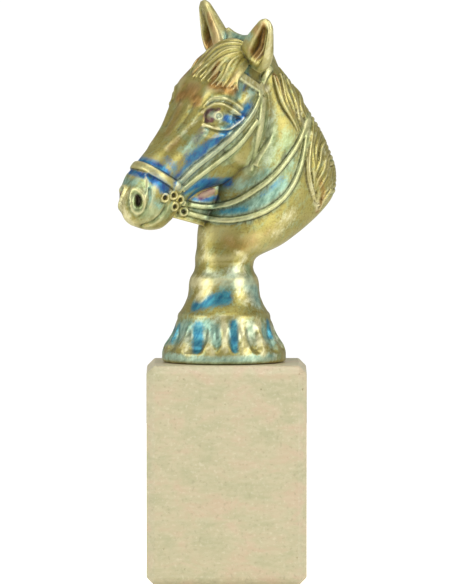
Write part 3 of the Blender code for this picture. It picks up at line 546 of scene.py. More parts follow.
def smooth_rows(rows, at):
    """Each column of rows, over the first, as one smooth curve read at the places in at."""
    rows = np.asarray(rows, float)
    x, y = rows[:, 0], rows[:, 1:]
    at = np.clip(np.atleast_1d(np.asarray(at, float)), x[0], x[-1])
    slope = np.gradient(y, x, axis=0)
    i = np.clip(np.searchsorted(x, at, side="right") - 1, 0, len(x) - 2)
    step = (x[i + 1] - x[i])[:, None]
    t = ((at - x[i]) / (x[i + 1] - x[i]))[:, None]
    return (
        (2 * t**3 - 3 * t**2 + 1) * y[i]
        + (t**3 - 2 * t**2 + t) * step * slope[i]
        + (3 * t**2 - 2 * t**3) * y[i + 1]
        + (t**3 - t**2) * step * slope[i + 1]
    )


def along(points, shares):
    """The smooth curve through points, read at shares of its length."""
    points = np.asarray(points, float)
    span = np.r_[0, np.cumsum(np.linalg.norm(np.diff(points, axis=0), axis=1))]
    return smooth_rows(np.c_[span, points], np.asarray(shares, float) * span[-1])


def rise(x, low, high):
    """0 at low, 1 at high, and smooth between."""
    t = np.clip((x - low) / (high - low), 0, 1)
    return t * t * (3 - 2 * t)


def bump(distance, width):
    """1 on the line and fading over the width to either side."""
    return np.exp(-((distance / width) ** 2))


def unit(rows):
    """Each row as a direction of length 1."""
    return rows / np.linalg.norm(rows, axis=1, keepdims=True)


def distance_to_line(points, line):
    """Distance from each point to the nearest stretch of a line."""
    best = np.full(points.shape[:-1], np.inf)
    for a, b in zip(line[:-1], line[1:]):
        share = np.clip((points - a) @ (b - a) / ((b - a) @ (b - a)), 0, 1)
        best = np.minimum(best, np.linalg.norm(points - a - share[..., None] * (b - a), axis=-1))
    return best


def head_axes():
    """The head's own directions: along the face, towards the forehead, and to its left side."""
    forward = np.array((-math.cos(HEAD_YAW), -math.sin(HEAD_YAW), 0.0))
    left = np.array((math.sin(HEAD_YAW), -math.cos(HEAD_YAW), 0.0))
    up = np.array((0.0, 0.0, 1.0))
    side = left * math.cos(HEAD_ROLL) - up * math.sin(HEAD_ROLL)
    crown = up * math.cos(HEAD_ROLL) + left * math.sin(HEAD_ROLL)
    face = forward * math.cos(HEAD_PITCH) - crown * math.sin(HEAD_PITCH)
    brow = forward * math.sin(HEAD_PITCH) + crown * math.cos(HEAD_PITCH)
    return np.array((face, brow, side))


def head_to_row(points):
    """From the head's own directions to the part's frame."""
    return BUST_ORIGIN + HEAD_LENGTH * (np.asarray(HEAD_PLACE) + np.asarray(points) @ head_axes())


def row_to_head(points):
    """From the part's frame to the head's own directions."""
    return ((np.asarray(points) - BUST_ORIGIN) / HEAD_LENGTH - np.asarray(HEAD_PLACE)) @ head_axes().T


def neck_axes():
    """The neck's own directions: back towards the crest, to its left side, and up."""
    c, s = math.cos(NECK_YAW), math.sin(NECK_YAW)
    return np.array(((c, s, 0.0), (s, -c, 0.0), (0.0, 0.0, 1.0)))


def neck_to_row(points):
    """From the neck's own directions to the part's frame."""
    return BUST_ORIGIN + HEAD_LENGTH * np.asarray(points) @ neck_axes()


def other_side(points):
    """The same places on the other side: mirrored in the head, in the neck, or between the two."""
    own = (np.asarray(points) - BUST_ORIGIN) / HEAD_LENGTH @ neck_axes().T
    on_neck = rise(own[:, :1], -0.22, 0.05)
    lean = smooth_rows(NECK_STATIONS, own[:, 2])[:, 3]
    own[:, 1] = 2 * lean - own[:, 1]
    in_head = head_to_row(row_to_head(points) * (1, 1, -1))
    return in_head * (1 - on_neck) + neck_to_row(own) * on_neck


def head_ring(place, turn):
    """Points round the bare head at one place along the face, from the dorsal line by the left."""
    row = smooth_rows(HEAD_STATIONS, max(place, HEAD_STATIONS[0][0]))[0]
    top, middle, low, half, square_top, square_low = row
    c, s = np.cos(turn), np.sin(turn)
    power = 2 / np.where(c >= 0, square_top, square_low)
    start, end = HEAD_DOME
    full = math.sqrt(1 - min(max((place - start) / (end - start), 0.0), 0.998) ** 2)
    w = half * full * np.sign(s) * np.abs(s) ** power
    v = middle + np.where(c >= 0, top - middle, middle - low) * full * np.sign(c) * np.abs(c) ** power
    return np.stack([np.full(v.shape, place), v, w], -1)


def to_photo(points):
    """Places in the part's frame as pixels of the picture."""
    across = MIDDLE_X + points[..., 0] / PIXEL
    level = points[..., 2] * math.cos(FRONT_VIEW_DROP) + points[..., 1] * math.sin(FRONT_VIEW_DROP)
    return np.stack([across, UNDERSIDE_Y - level / PIXEL], -1)


def eye_relief(seen):
    """The ball with its iris, sunk between the lids."""
    x, y = seen[..., 0], seen[..., 1]
    top, low = np.interp(x, *np.transpose(EYE_TOP)), np.interp(x, *np.transpose(EYE_LOW))
    ends = rise(x, EYE_TOP[0][0] - 1, EYE_TOP[0][0] + 2) * rise(-x, -EYE_TOP[-1][0], 3 - EYE_TOP[-1][0])
    inside = rise(y - top, -0.6, 1.2) * rise(low - y, -0.6, 1.2) * ends
    off = np.hypot(x - EYEBALL_CENTRE[0], y - EYEBALL_CENTRE[1])
    globe = EYEBALL_HEIGHT * np.sqrt(np.clip(1 - (off / EYEBALL_RADIUS) ** 2, 0, None))
    globe += IRIS_RIM * (bump(off - IRIS_RADIUS, IRIS_RADIUS * 0.3) + bump(off, IRIS_RADIUS * 0.35))
    return (globe - EYE_SINK) * inside


def nostril_relief(seen):
    """A deep hollow like a comma, with a raised rim."""
    across, down = seen[..., 0] - NOSTRIL_CENTRE[0], (seen[..., 1] - NOSTRIL_CENTRE[1]) / NOSTRIL_SIZE[1]
    ring = np.hypot((across + NOSTRIL_BEND * np.minimum(down, 0) ** 2) / NOSTRIL_SIZE[0], down)
    return NOSTRIL_RIM * bump(ring - 1.45, 0.35) - NOSTRIL_DEPTH * rise(-ring, -1.1, -0.35)


def face_relief(skin):
    """Height of the face's carving over the bare head, the same on both sides."""
    places = skin.copy()
    places[..., 2] = np.abs(skin[..., 2])
    u, v, w = np.moveaxis(places, -1, 0)
    seen = to_photo(head_to_row(places))
    on_side = rise(w, 0.05, 0.10)
    cheek = np.hypot(u - CHEEK_CENTRE[0], v - CHEEK_CENTRE[1]) / CHEEK_REACH
    temple = np.hypot(u - TEMPLE_CENTRE[0], v - TEMPLE_CENTRE[1]) / TEMPLE_REACH
    hollow = np.hypot((u - HOLLOW_CENTRE[0]) / HOLLOW_REACH[0], (v - HOLLOW_CENTRE[1]) / HOLLOW_REACH[1])
    relief = (eye_relief(seen) + TEMPLE_HEIGHT * bump(temple, 1.0)) * on_side
    relief += nostril_relief(seen) * rise(w, 0.0, 0.03)
    relief += CHEEK_HEIGHT * rise(-cheek, -1.12, -0.85) * on_side
    relief -= HOLLOW_DEPTH * bump(hollow, 1.0) * on_side
    for line, height, half_width in FACE_LINES:
        smooth = along(line, np.linspace(0, 1, 4 * len(line)))
        relief += height * bump(distance_to_line(seen, smooth), half_width) * rise(w, 0.0, 0.05)
    return relief


def carved_head(rows, around):
    """The head with its relief, pushed out or in along its own outward direction."""
    quarter, within = np.divmod(np.arange(around) * 4 / around, 1)
    turn = (quarter + within**2 * (3 - 2 * within)) * np.pi / 2
    places = np.linspace(HEAD_DOME[1], HEAD_STATIONS[-1][0], rows)
    skin = np.stack([head_ring(place, turn) for place in places])
    run = np.gradient(skin, axis=0)
    round_it = np.roll(skin, -1, axis=1) - np.roll(skin, 1, axis=1)
    outward = np.cross(round_it, run)
    outward /= np.linalg.norm(outward, axis=-1, keepdims=True) + 1e-9
    middle = skin.mean(axis=1, keepdims=True)
    outward *= np.sign(((skin - middle) * outward).sum(axis=(1, 2)))[:, None, None]
    return head_to_row(skin + outward * face_relief(skin)[..., None])


def neck_skin(rows, around):
    """The neck as level rings, thinner towards the crest."""
    height = np.linspace(NECK_STATIONS[0][0], NECK_STATIONS[-1][0], rows)[:, None]
    turn = np.linspace(0, 2 * np.pi, around, endpoint=False)[None, :]
    front, back, half, lean = (c[:, None] for c in smooth_rows(NECK_STATIONS, height[:, 0]).T)
    crest = rise(height, 0.0, 0.3) * ((1 + np.cos(turn)) / 2) ** 1.5
    depth = (front + back) / 2 + (back - front) / 2 * np.cos(turn)
    side = half * (1 - 0.40 * crest) * np.sin(turn) + lean
    return neck_to_row(np.stack([depth, side, np.broadcast_to(height, side.shape)], -1))


def throat_web(rows, around):
    """The wall that fills the corner between the jaw and the neck."""
    turn = np.linspace(0, 2 * np.pi, around, endpoint=False)
    side = head_axes()[2] * HEAD_LENGTH
    rings = []
    inner, outer = THROAT_WEB_THICKNESS
    for place, height in zip(np.linspace(*THROAT_WEB_PLACES, rows), np.linspace(*THROAT_WEB_HEIGHTS, rows)):
        low = smooth_rows(HEAD_STATIONS, place)[0, 2]
        jaw = head_to_row((place, low + 0.012, 0.0))
        front, _, _, lean = smooth_rows(NECK_STATIONS, height)[0]
        neck = neck_to_row((front + 0.08, lean, height))
        thick = inner + (outer - inner) * (1 - np.cos(turn)) / 2
        reach = np.outer(np.cos(turn), (jaw - neck) / 2)
        rings.append((jaw + neck) / 2 + reach + np.outer(thick * np.sin(turn), side))
    return np.array(rings)


def ear(side, rows, around):
    """One ear, leaf-shaped and hollow towards the front."""
    root = np.array(EAR_ROOT) * (1, 1, side) - side * np.array(EAR_LIFT)
    tip = np.array(EAR_TIP) * (1, 1, side) - side * np.array(EAR_LIFT)
    axis = (tip - root) / np.linalg.norm(tip - root)
    ahead = np.array((math.cos(HEAD_PITCH), math.sin(HEAD_PITCH), 0.0)) * math.cos(EAR_TURN)
    ahead[2] = side * math.sin(EAR_TURN)
    across = np.cross(axis, ahead)
    across /= np.linalg.norm(across) * np.sign(across[2]) * side
    ahead -= axis * (ahead @ axis)
    ahead /= np.linalg.norm(ahead)
    turn = np.linspace(0, 2 * np.pi, around, endpoint=False)
    c, s = np.cos(turn), np.sin(turn)
    middle, wide, narrow = EAR_HOLLOW
    ridges = 1 - EAR_RIDGE * (1 + np.cos(EAR_RIDGES * np.pi * s))
    window = rise(-np.abs(s - middle), -wide, -narrow) * ridges
    rings = []
    for share in np.linspace(0, 1, rows):
        half, hollow = smooth_rows(EAR_STATIONS, share)[0]
        front = 0.60 * np.abs(c) ** 0.5 - EAR_DISH * hollow * window
        depth = EAR_DEPTH * half * np.where(c > 0, front, -np.abs(c) ** 0.7)
        centre = root + (tip - root) * share
        rings.append(centre + np.outer(half * s, across) + np.outer(depth, ahead))
    return head_to_row(np.array(rings))


def poll_web(rows, around):
    """The low wall that joins the ears over the poll."""
    turn = np.linspace(0, 2 * np.pi, around, endpoint=False)
    up = np.array((-math.sin(HEAD_PITCH), math.cos(HEAD_PITCH), 0.0))
    ahead = np.array((math.cos(HEAD_PITCH), math.sin(HEAD_PITCH), 0.0))
    rings = []
    for share in np.linspace(-1, 1, rows):
        centre = np.array((*POLL_WEB_CENTRE, POLL_WEB_REACH * share))
        tall = np.outer((POLL_WEB_HEIGHT + POLL_WEB_RISE * share**2) * np.cos(turn), up)
        rings.append(centre + tall + np.outer(POLL_WEB_THICKNESS * np.sin(turn), ahead))
    return head_to_row(np.array(rings))


class Shells:
    """Closed shells, gathered as one mesh."""

    def __init__(self):
        self.points = []
        self.faces = []

    def add(self, rings):
        """A skin over a row of equal rings, with a fan over each end."""
        rings = np.asarray(rings, float)
        rows, around = rings.shape[:2]
        base = len(self.points)
        self.points.extend(rings.reshape(-1, 3).tolist())
        self.points.append(rings[0].mean(axis=0).tolist())
        self.points.append(rings[-1].mean(axis=0).tolist())
        first, last = base + rows * around, base + rows * around + 1
        end = base + (rows - 1) * around
        for k in range(around):
            k2 = (k + 1) % around
            for row in range(base, end, around):
                self.faces.append((row + k, row + k2, row + around + k2, row + around + k))
            self.faces.append((first, base + k2, base + k))
            self.faces.append((last, end + k, end + k2))

    def add_round(self, rings):
        """A skin that closes on itself both ways, such as a ring's."""
        rows, around = rings.shape[:2]
        base = len(self.points)
        self.points.extend(rings.reshape(-1, 3).tolist())
        for row in range(rows):
            here, there = base + row * around, base + (row + 1) % rows * around
            for k in range(around):
                k2 = (k + 1) % around
                self.faces.append((here + k, here + k2, there + k2, there + k))

    def tree(self):
        """The skins as one surface that lines can be laid on."""
        return BVHTree.FromPolygons(self.points, self.faces)

    def mesh(self, name):
        """The mesh, every shell facing out."""
        mesh = bpy.data.meshes.new(name)
        mesh.from_pydata(self.points, [], self.faces)
        shape = bmesh.new()
        shape.from_mesh(mesh)
        bmesh.ops.recalc_face_normals(shape, faces=shape.faces)
        shape.to_mesh(mesh)
        shape.free()
        return mesh


def laid_on(tree, starts, looks, passes=4):
    """Where the outer skin stops lines that start off it, and its outward directions there."""
    places, outward = [], []
    for start, look in zip(starts, looks):
        hit, facing = tree.ray_cast(Vector(start), Vector(look))[:2]
        if hit is not None:
            places.append(hit)
            outward.append(facing if facing.dot(Vector(look)) < 0 else -facing)
    outward = np.array(outward).reshape(-1, 3)
    places = np.array(places).reshape(-1, 3)
    for _ in range(passes):
        places[1:-1] = (places[:-2] + 2 * places[1:-1] + places[2:]) / 4
        outward[1:-1] = (outward[:-2] + 2 * outward[1:-1] + outward[2:]) / 4
    return places, unit(outward)


def seen_from_front(tree, line, passes=4):
    """Where a line drawn on the front view lies on the skin."""
    look = np.array((0.0, math.cos(FRONT_VIEW_DROP), -math.sin(FRONT_VIEW_DROP)))
    starts = [BUST_ORIGIN + HEAD_LENGTH * (np.array((x, 0.0, z)) - 3 * look) for x, z in line]
    return laid_on(tree, starts, [look] * len(starts), passes)


def on_other_side(tree, places, outward, passes=4):
    """The same line on the skin's other side."""
    there = other_side(places)
    away = unit(other_side(places + outward * HEAD_LENGTH) - there)
    return laid_on(tree, there + away * HEAD_LENGTH, -away, passes)


def across_line(places, outward):
    """The direction across a line on the skin, at each of its places."""
    ahead = np.gradient(places, axis=0)
    ahead /= np.linalg.norm(ahead, axis=1, keepdims=True) + 1e-9
    return unit(np.cross(outward, ahead))


def squarish(count):
    """Points round a section between a circle and a square, across and out."""
    turn = np.linspace(0, 2 * np.pi, count, endpoint=False)
    return tuple(np.sign(part) * np.abs(part) ** 0.6 for part in (np.cos(turn), np.sin(turn)))


def band(places, outward, width, relief, taper=0):
    """A raised band on the skin, rooted deep in it; taper thins it towards its ends."""
    share = np.linspace(0, 1, len(places))
    full = 1 - taper * (1 - np.sin(np.pi * (0.12 + 0.86 * share)))
    c, s = squarish(12)
    height = np.where(s > 0, s * relief, s * STRAP_ROOT)
    across = across_line(places, outward)
    rings = places[:, None] + across[:, None] * (c * width / 2 * full[:, None])[..., None]
    return rings + outward[:, None] * (height * full[:, None])[..., None]


def girth(tree, place, left, right, count):
    """A line round the head, as far from its dorsal line as told on each side, slanted like the straps."""
    rows = np.empty((count, 3))
    for row, angle in enumerate(np.linspace(-right, left, count)):
        at = place
        for _ in range(4):
            rows[row] = head_ring(at, np.array([angle]))[0]
            at = place + BAND_SLANT * min(rows[row, 1], 0.0)
    middle = rows * (1, 0, 0) + (0, -0.08, 0)
    looks = unit(head_to_row(middle) - head_to_row(rows))
    return laid_on(tree, head_to_row(rows) - looks * HEAD_LENGTH / 4, looks)


def foot_profile():
    """The turned outline of the foot, top to bottom."""
    rim_z = SEAT_Z + RIM_HEIGHT
    flare = FOOT_RADIUS - SKIRT_TOP_RADIUS
    shoulder = COLLAR_RADIUS - STEM_RADIUS
    points = [
        (0.0, STEM_TOP_Z + EDGE_ROUND),
        (STEM_RADIUS * 0.75, STEM_TOP_Z + EDGE_ROUND / 2),
        (STEM_RADIUS, STEM_TOP_Z - STEM_HEIGHT * 0.15),
        (STEM_RADIUS, STEM_TOP_Z - STEM_HEIGHT * 0.45),
        (STEM_RADIUS + shoulder * 0.20, STEM_TOP_Z - STEM_HEIGHT * 0.70),
        (COLLAR_RADIUS - shoulder * 0.20, COLLAR_Z + COLLAR_HEIGHT),
        (COLLAR_RADIUS, COLLAR_Z + COLLAR_HEIGHT * 0.72),
        (COLLAR_RADIUS + shoulder * 0.05, COLLAR_Z + COLLAR_HEIGHT * 0.35),
        (COLLAR_RADIUS + shoulder * 0.20, COLLAR_Z),
        (COLLAR_RADIUS + (SKIRT_TOP_RADIUS - COLLAR_RADIUS) * 0.40, LIP_TOP_Z + WAIST_HEIGHT * 0.45),
        (SKIRT_TOP_RADIUS - LIP_STEP, LIP_TOP_Z),
        (SKIRT_TOP_RADIUS - LIP_STEP * 0.30, LIP_TOP_Z - LIP_HEIGHT * 0.25),
        (SKIRT_TOP_RADIUS, LIP_TOP_Z - LIP_HEIGHT * 0.75),
        (SKIRT_TOP_RADIUS - LIP_STEP * 0.15, SKIRT_TOP_Z),
    ]
    for down in np.linspace(0.15, 0.93, 6):
        spread_out = smooth_rows(SKIRT_LINE, down)[0, 0]
        points.append((SKIRT_TOP_RADIUS + flare * spread_out, SKIRT_TOP_Z - SKIRT_HEIGHT * down))
    points += [
        (FOOT_RADIUS, rim_z),
        (FOOT_RADIUS, SEAT_Z + EDGE_ROUND),
        (FOOT_RADIUS - EDGE_ROUND, SEAT_Z),
        (0.0, SEAT_Z),
    ]
    return points


def from_photo(line):
    """Pixels of the picture as places seen from the front: across and up from the top of the stem."""
    line = np.atleast_2d(np.asarray(line, float))
    across = (line[:, 0] - MIDDLE_X) * PIXEL - FOOT_OFFSET_X
    up = (UNDERSIDE_Y - line[:, 1]) * PIXEL / math.cos(FRONT_VIEW_DROP) - STEM_TOP_Z
    return np.stack([across, up], 1) / HEAD_LENGTH


def between(guides, share):
    """A line part of the way through a row of guide lines."""
    at = np.linspace(0, 1, 9)
    rows = np.array([along(from_photo(guide), at) for guide in guides])
    place = share * (len(rows) - 1)
    low = min(int(place), len(rows) - 2)
    return rows[low] * (low + 1 - place) + rows[low + 1] * (place - low)


def strap(places, outward, width, relief, channel=0, taper=0):
    """A raised strap with rounded edges; channel sinks its middle, and taper narrows its end."""
    c, s = squarish(32)
    sunk = channel * rise(-np.abs(c), -0.62, -0.30)
    height = np.where(s > 0, s * relief * (1 - sunk), s * STRAP_ROOT)
    full = 1 - taper * rise(np.linspace(0, 1, len(places)), 0.35, 1.0)[:, None, None]
    across = across_line(places, outward)
    rings = places[:, None] + across[:, None] * (c * width / 2)[:, None] * full
    return rings + outward[:, None] * height[:, None] * full


def add_straps(shells, tree):
    """The two bands across the face, and the straps and reins of both sides."""
    noseband = girth(tree, NOSEBAND_PLACE, NOSEBAND_REACH, NOSEBAND_REACH, BAND_ROWS)
    browband = girth(tree, BROWBAND_PLACE, BROWBAND_REACH, BROWBAND_FAR_REACH, BAND_ROWS)
    shells.add(strap(*noseband, NOSEBAND_WIDTH, NOSEBAND_RELIEF))
    shells.add(strap(*browband, BROWBAND_WIDTH, STRAP_RELIEF, EDGE_CHANNEL))
    for line, width, relief, ends in SIDE_STRAPS:
        seen = seen_from_front(tree, along(line, np.linspace(0, 1, 12 * len(line))), 14)
        for places, outward in (seen, on_other_side(tree, *seen, 14)):
            shells.add(strap(places, outward, width, relief, 0, ends))


def add_bit(shells, tree):
    """The rings of the bit and the fitting over them, on both sides."""
    turn = np.linspace(0, 2 * np.pi, 40, endpoint=False)
    small = np.linspace(0, 2 * np.pi, 16, endpoint=False)
    left = seen_from_front(tree, from_photo(BIT_RINGS), 0)
    for places, outward in (left, on_other_side(tree, *left, 0)):
        for place, out in zip(places, outward):
            out = out + (0.0, BIT_TURN * np.sign(out[1]), 0.0)
            out /= np.linalg.norm(out)
            across = np.cross(out, (0.0, 0.0, 1.0))
            across /= np.linalg.norm(across)
            over = np.cross(across, out)
            spoke = np.outer(np.cos(turn), across) + np.outer(np.sin(turn), over)
            reach = BIT_RING_RADIUS + BIT_WIRE_RADIUS * np.cos(small)
            lift = BIT_WIRE_RADIUS * (0.4 + np.sin(small))
            shells.add_round(place + spoke[:, None] * reach[:, None] + np.outer(lift, out))
    seen = seen_from_front(tree, along(from_photo(BIT_FITTING), np.linspace(0, 1, 14)))
    for places, outward in (seen, on_other_side(tree, *seen)):
        shells.add(band(places, outward, BIT_FITTING_WIDTH, BIT_FITTING_RELIEF, 0.75))


def add_locks(shells, tree, guides, count, width, seed, both):
    """Locks of hair between guide lines, uneven in width, height and start."""
    chance = np.random.default_rng(seed)
    share = np.linspace(0, 1, 30)
    for i in range(count):
        place = np.clip((i + chance.uniform(-0.25, 0.25)) / (count - 1), 0, 1)
        start, end = chance.uniform(0.0, 0.06), chance.uniform(0.90, 1.0)
        line = along(between(guides, place), start + (end - start) * share)
        sway = chance.uniform(0.4, 1.0) * LOCK_SWAY
        line[:, 0] += sway * np.sin(2 * np.pi * (share * chance.uniform(1, 1.7) + place))
        seen = seen_from_front(tree, line)
        thick = width * chance.uniform(0.8, 1.2)
        high = LOCK_RELIEF * chance.uniform(0.7, 1.15)
        for side in (seen, on_other_side(tree, *seen)) if both else (seen,):
            shells.add(band(*side, thick, high, LOCK_ENDS))


def add_crest(shells, tree):
    """Short locks over the crest, combed down to both sides."""
    chance = np.random.default_rng(CREST_SEED)
    turn = np.radians(np.linspace(-CREST_TURN, CREST_TURN, CREST_PLACES))
    for height in np.linspace(*CREST_SPAN, CREST_LOCKS):
        front, back, _, lean = smooth_rows(NECK_STATIONS, height)[0]
        level = height - 0.05 * (turn / turn[-1]) ** 2 + 0.008 * np.sin(3 * turn + 40 * height)
        depth, side = np.full(CREST_PLACES, (front + back) / 2), np.full(CREST_PLACES, lean)
        middle = np.stack([depth, side, level], 1)
        starts = neck_to_row(middle + np.stack([np.cos(turn), 0.55 * np.sin(turn), 0 * turn], 1))
        places, outward = laid_on(tree, starts, unit(neck_to_row(middle) - starts))
        width = MANE_WIDTH * chance.uniform(0.8, 1.1)
        shells.add(band(places, outward, width, CREST_RELIEF, LOCK_ENDS))


def foot_skin(rows, around):
    """The turned foot as level rings, its skirt folded between the rim and the lip."""
    outline = np.array(foot_profile())
    span = np.r_[0, np.cumsum(np.linalg.norm(np.diff(outline, axis=0), axis=1))]
    at = np.linspace(0, span[-1], rows)
    shape = np.stack([np.interp(at, span, outline[:, 0]), np.interp(at, span, outline[:, 1])], 1)
    for _ in range(5):
        shape[1:-1] = (shape[:-2] + 2 * shape[1:-1] + shape[2:]) / 4
    turn = np.linspace(0, 2 * np.pi, around, endpoint=False)
    ribs = np.array(FOLD_RIBS)
    gaps = np.diff(np.r_[ribs, ribs[0] + 360])
    seen = (np.degrees(turn) + 90 - ribs[0]) % 360
    fold = np.searchsorted(np.cumsum(gaps), seen, side="right")
    past = seen - np.r_[0, np.cumsum(gaps)][fold]
    off_rib = np.minimum(past, gaps[fold] - past)
    size = np.clip(gaps[fold] / np.mean(gaps), 0.7, 1.15)
    rings = []
    for radius, height in shape:
        down = (SKIRT_TOP_Z - height) / SKIRT_HEIGHT
        window = rise(down, 0.02, 0.62) * rise(-down, -0.99, -0.84)
        rib = RIB_HALF * (0.35 + rise(down, 0.55, 1.0))
        hollow = rise(off_rib, rib, rib + 5.5) * size
        deep = radius - FOLD_DEPTH * window * hollow
        level = np.full(around, height)
        rings.append(np.stack([FOOT_OFFSET_X + deep * np.cos(turn), deep * np.sin(turn), level], 1))
    return np.array(rings)


# The casting, one skin
def shells_of_casting():
    """Every shell of the casting at full fineness, and the bare skins with the ears as a tree."""
    skins = Shells()
    skins.add(carved_head(*HEAD_GRID))
    skins.add(neck_skin(*NECK_GRID))
    skins.add(throat_web(*THROAT_WEB_GRID))
    skins.add(poll_web(*POLL_WEB_GRID))
    skins.add(foot_skin(*FOOT_GRID))
    tree = skins.tree()
    skins.add(ear(1, *EAR_GRID))
    skins.add(ear(-1, *EAR_GRID))
    eared = skins.tree()
    add_straps(skins, tree)
    add_bit(skins, tree)
    for hair in HAIR:
        add_locks(skins, tree, *hair)
    add_crest(skins, tree)
    return skins, eared


def one_skin(shells, name):
    """The shells joined as one closed skin of at most so many triangles."""
    body = placed(name, shells.mesh(name))
    joined = body.modifiers.new("joined", "REMESH")
    joined.mode = "VOXEL"
    joined.voxel_size = CELL
    body.data = applied(body)
    body.modifiers.clear()
    fewer = body.modifiers.new("fewer", "DECIMATE")
    fewer.ratio = min(1.0, TRIANGLES / (2 * len(body.data.polygons)))
    body.data = applied(body)
    body.modifiers.clear()
    clear_specks(body.data)
    body.data.shade_smooth()
    return body


def clear_specks(mesh):
    """Leaves the mesh's largest connected skin, without the specks that joining shells makes."""
    shape = bmesh.new()
    shape.from_mesh(mesh)
    left, main = set(shape.verts), set()
    while left:
        front = {left.pop()}
        skin = set(front)
        while front:
            front = {edge.other_vert(vert) for vert in front for edge in vert.link_edges} - skin
            skin |= front
        left -= skin
        main = max(main, skin, key=len)
    specks = [vert for vert in shape.verts if vert not in main]
    bmesh.ops.delete(shape, geom=specks, context="VERTS")
    shape.to_mesh(mesh)
    shape.free()


def placed(name, data):
    """A new object in the scene, of this data."""
    made = bpy.data.objects.new(name, data)
    bpy.context.scene.collection.objects.link(made)
    return made


def applied(body):
    """The object's mesh with its modifiers applied."""
    graph = bpy.context.evaluated_depsgraph_get()
    return bpy.data.meshes.new_from_object(body.evaluated_get(graph))


# Patina, painted highlight and painted shade
def numbers(items, name, width, kind=np.float32):
    """One value of every item of a mesh, as an array."""
    found = np.empty(len(items) * width, kind)
    items.foreach_get(name, found)
    return found.reshape(-1, width)


def hollowness(mesh, passes):
    """How far each point lies under the evened-out skin round it, in metres."""
    points = numbers(mesh.vertices, "co", 3).astype(float)
    facing = numbers(mesh.vertex_normals, "vector", 3)
    a, b = numbers(mesh.edges, "vertices", 2, np.int32).T
    count = np.bincount(np.r_[a, b], minlength=len(points))[:, None]
    even = points
    for _ in range(passes):
        total = [np.bincount(np.r_[a, b], np.r_[even[b, i], even[a, i]], len(points)) for i in range(3)]
        total = np.stack(total, 1)
        even = (even + total / count) / 2
    return ((even - points) * facing).sum(axis=1)


def spread(points, lines):
    """How strongly patches reach each point: full near their lines, and gone a reach away."""
    felt = np.zeros(len(points))
    for line, reach, strength in lines:
        if len(line) == 1:
            line = np.repeat(line, 2, axis=0) + np.array([[0, 0, 0], [1e-6, 0, 0]])
        away = distance_to_line(points, line)
        felt = np.maximum(felt, strength * rise(-away / reach, -1.5, 0.0))
    return felt


def lines_on_both_sides(tree, table):
    """Lines seen from the front, laid on the skin of both sides, each with its reach and strength."""
    laid = []
    for line, reach, strength in table:
        seen = seen_from_front(tree, along(line, np.linspace(0, 1, 3 * len(line))), 0)
        if not len(seen[0]):
            continue
        laid.append((seen[0], reach * HEAD_LENGTH, strength))
        if row_to_head(seen[0])[:, 2].mean() > 0 or seen[0][:, 2].max() < STEM_TOP_Z:
            other = on_other_side(tree, *seen, 0)[0]
            if len(other):
                laid.append((other, reach * HEAD_LENGTH, strength))
    return laid


def patches(tree, table):
    """Patches given on the picture, laid on the skin of both sides."""
    rows = [(from_photo(line), reach * PIXEL / HEAD_LENGTH, strength) for line, reach, strength in table]
    return lines_on_both_sides(tree, rows)


def add_patina(body, tree):
    """Keeps on the mesh where each tint lies, painted highlight and shade among them, and how hollow the
    surface is.
    """
    mesh = body.data
    points = numbers(mesh.vertices, "co", 3).astype(float)
    values = {name: spread(points, patches(tree, table)) for name, table in PATINA.items()}
    bands = [(line, width / HEAD_LENGTH, 1.0) for line, width, _, _ in SIDE_STRAPS]
    values["strap"] = spread(points, lines_on_both_sides(tree, bands))
    # Painted highlight and painted shade eased on the foot, fully from the skirt's top down
    foot_easing = 1 - FOOT_SHADE_AND_HIGHLIGHT_EASING * rise(-points[:, 2], -COLLAR_Z, -SKIRT_TOP_Z)
    values["fine_hollow"] = hollowness(mesh, FINE_PASSES) / FINE_DEPTH * foot_easing
    values["broad_hollow"] = hollowness(mesh, BROAD_PASSES) / BROAD_DEPTH * foot_easing
    for name, found in values.items():
        kept = mesh.attributes.new(name, "FLOAT", "POINT")
        kept.data.foreach_set("value", np.clip(found, -1, 1).astype(np.float32))


# Materials
def colour(text):
    """An sRGB hex colour as linear numbers."""
    srgb = np.array([int(text[i:i + 2], 16) for i in (1, 3, 5)]) / 255
    linear = np.where(srgb <= 0.04045, srgb / 12.92, ((srgb + 0.055) / 1.055) ** 2.4)
    return (*linear.tolist(), 1.0)


def add(tree, kind, inputs, **settings):
    """A node with its settings, and its inputs set to values or linked to sockets."""
    made = tree.nodes.new(kind)
    for name, value in settings.items():
        setattr(made, name, value)
    for name, value in inputs.items():
        if isinstance(value, bpy.types.NodeSocket):
            tree.links.new(value, made.inputs[name])
        else:
            made.inputs[name].default_value = value
    return made


def blank(name):
    """A new material with its shader, and the place of each point of the surface in metres."""
    made = bpy.data.materials.new(name)
    made.use_nodes = True
    tree = made.node_tree
    place = add(tree, "ShaderNodeTexCoord", {}).outputs["Object"]
    return made, tree, tree.nodes["Principled BSDF"], place


def per_metre(millimetres):
    """The scale of a pattern whose features are this far apart."""
    return 1000.0 / millimetres


def coat(tree, under, follows, look):
    """A colour over what is under it, in step with a value: from none at its start to its most."""
    start, full, most, tint = look
    amount = {"Value": follows, "From Min": start, "From Max": full, "To Max": most}
    amount = add(tree, "ShaderNodeMapRange", amount).outputs[0]
    over = {0: amount, "A": under, "B": colour(tint)}
    return add(tree, "ShaderNodeMix", over, data_type="RGBA").outputs["Result"]


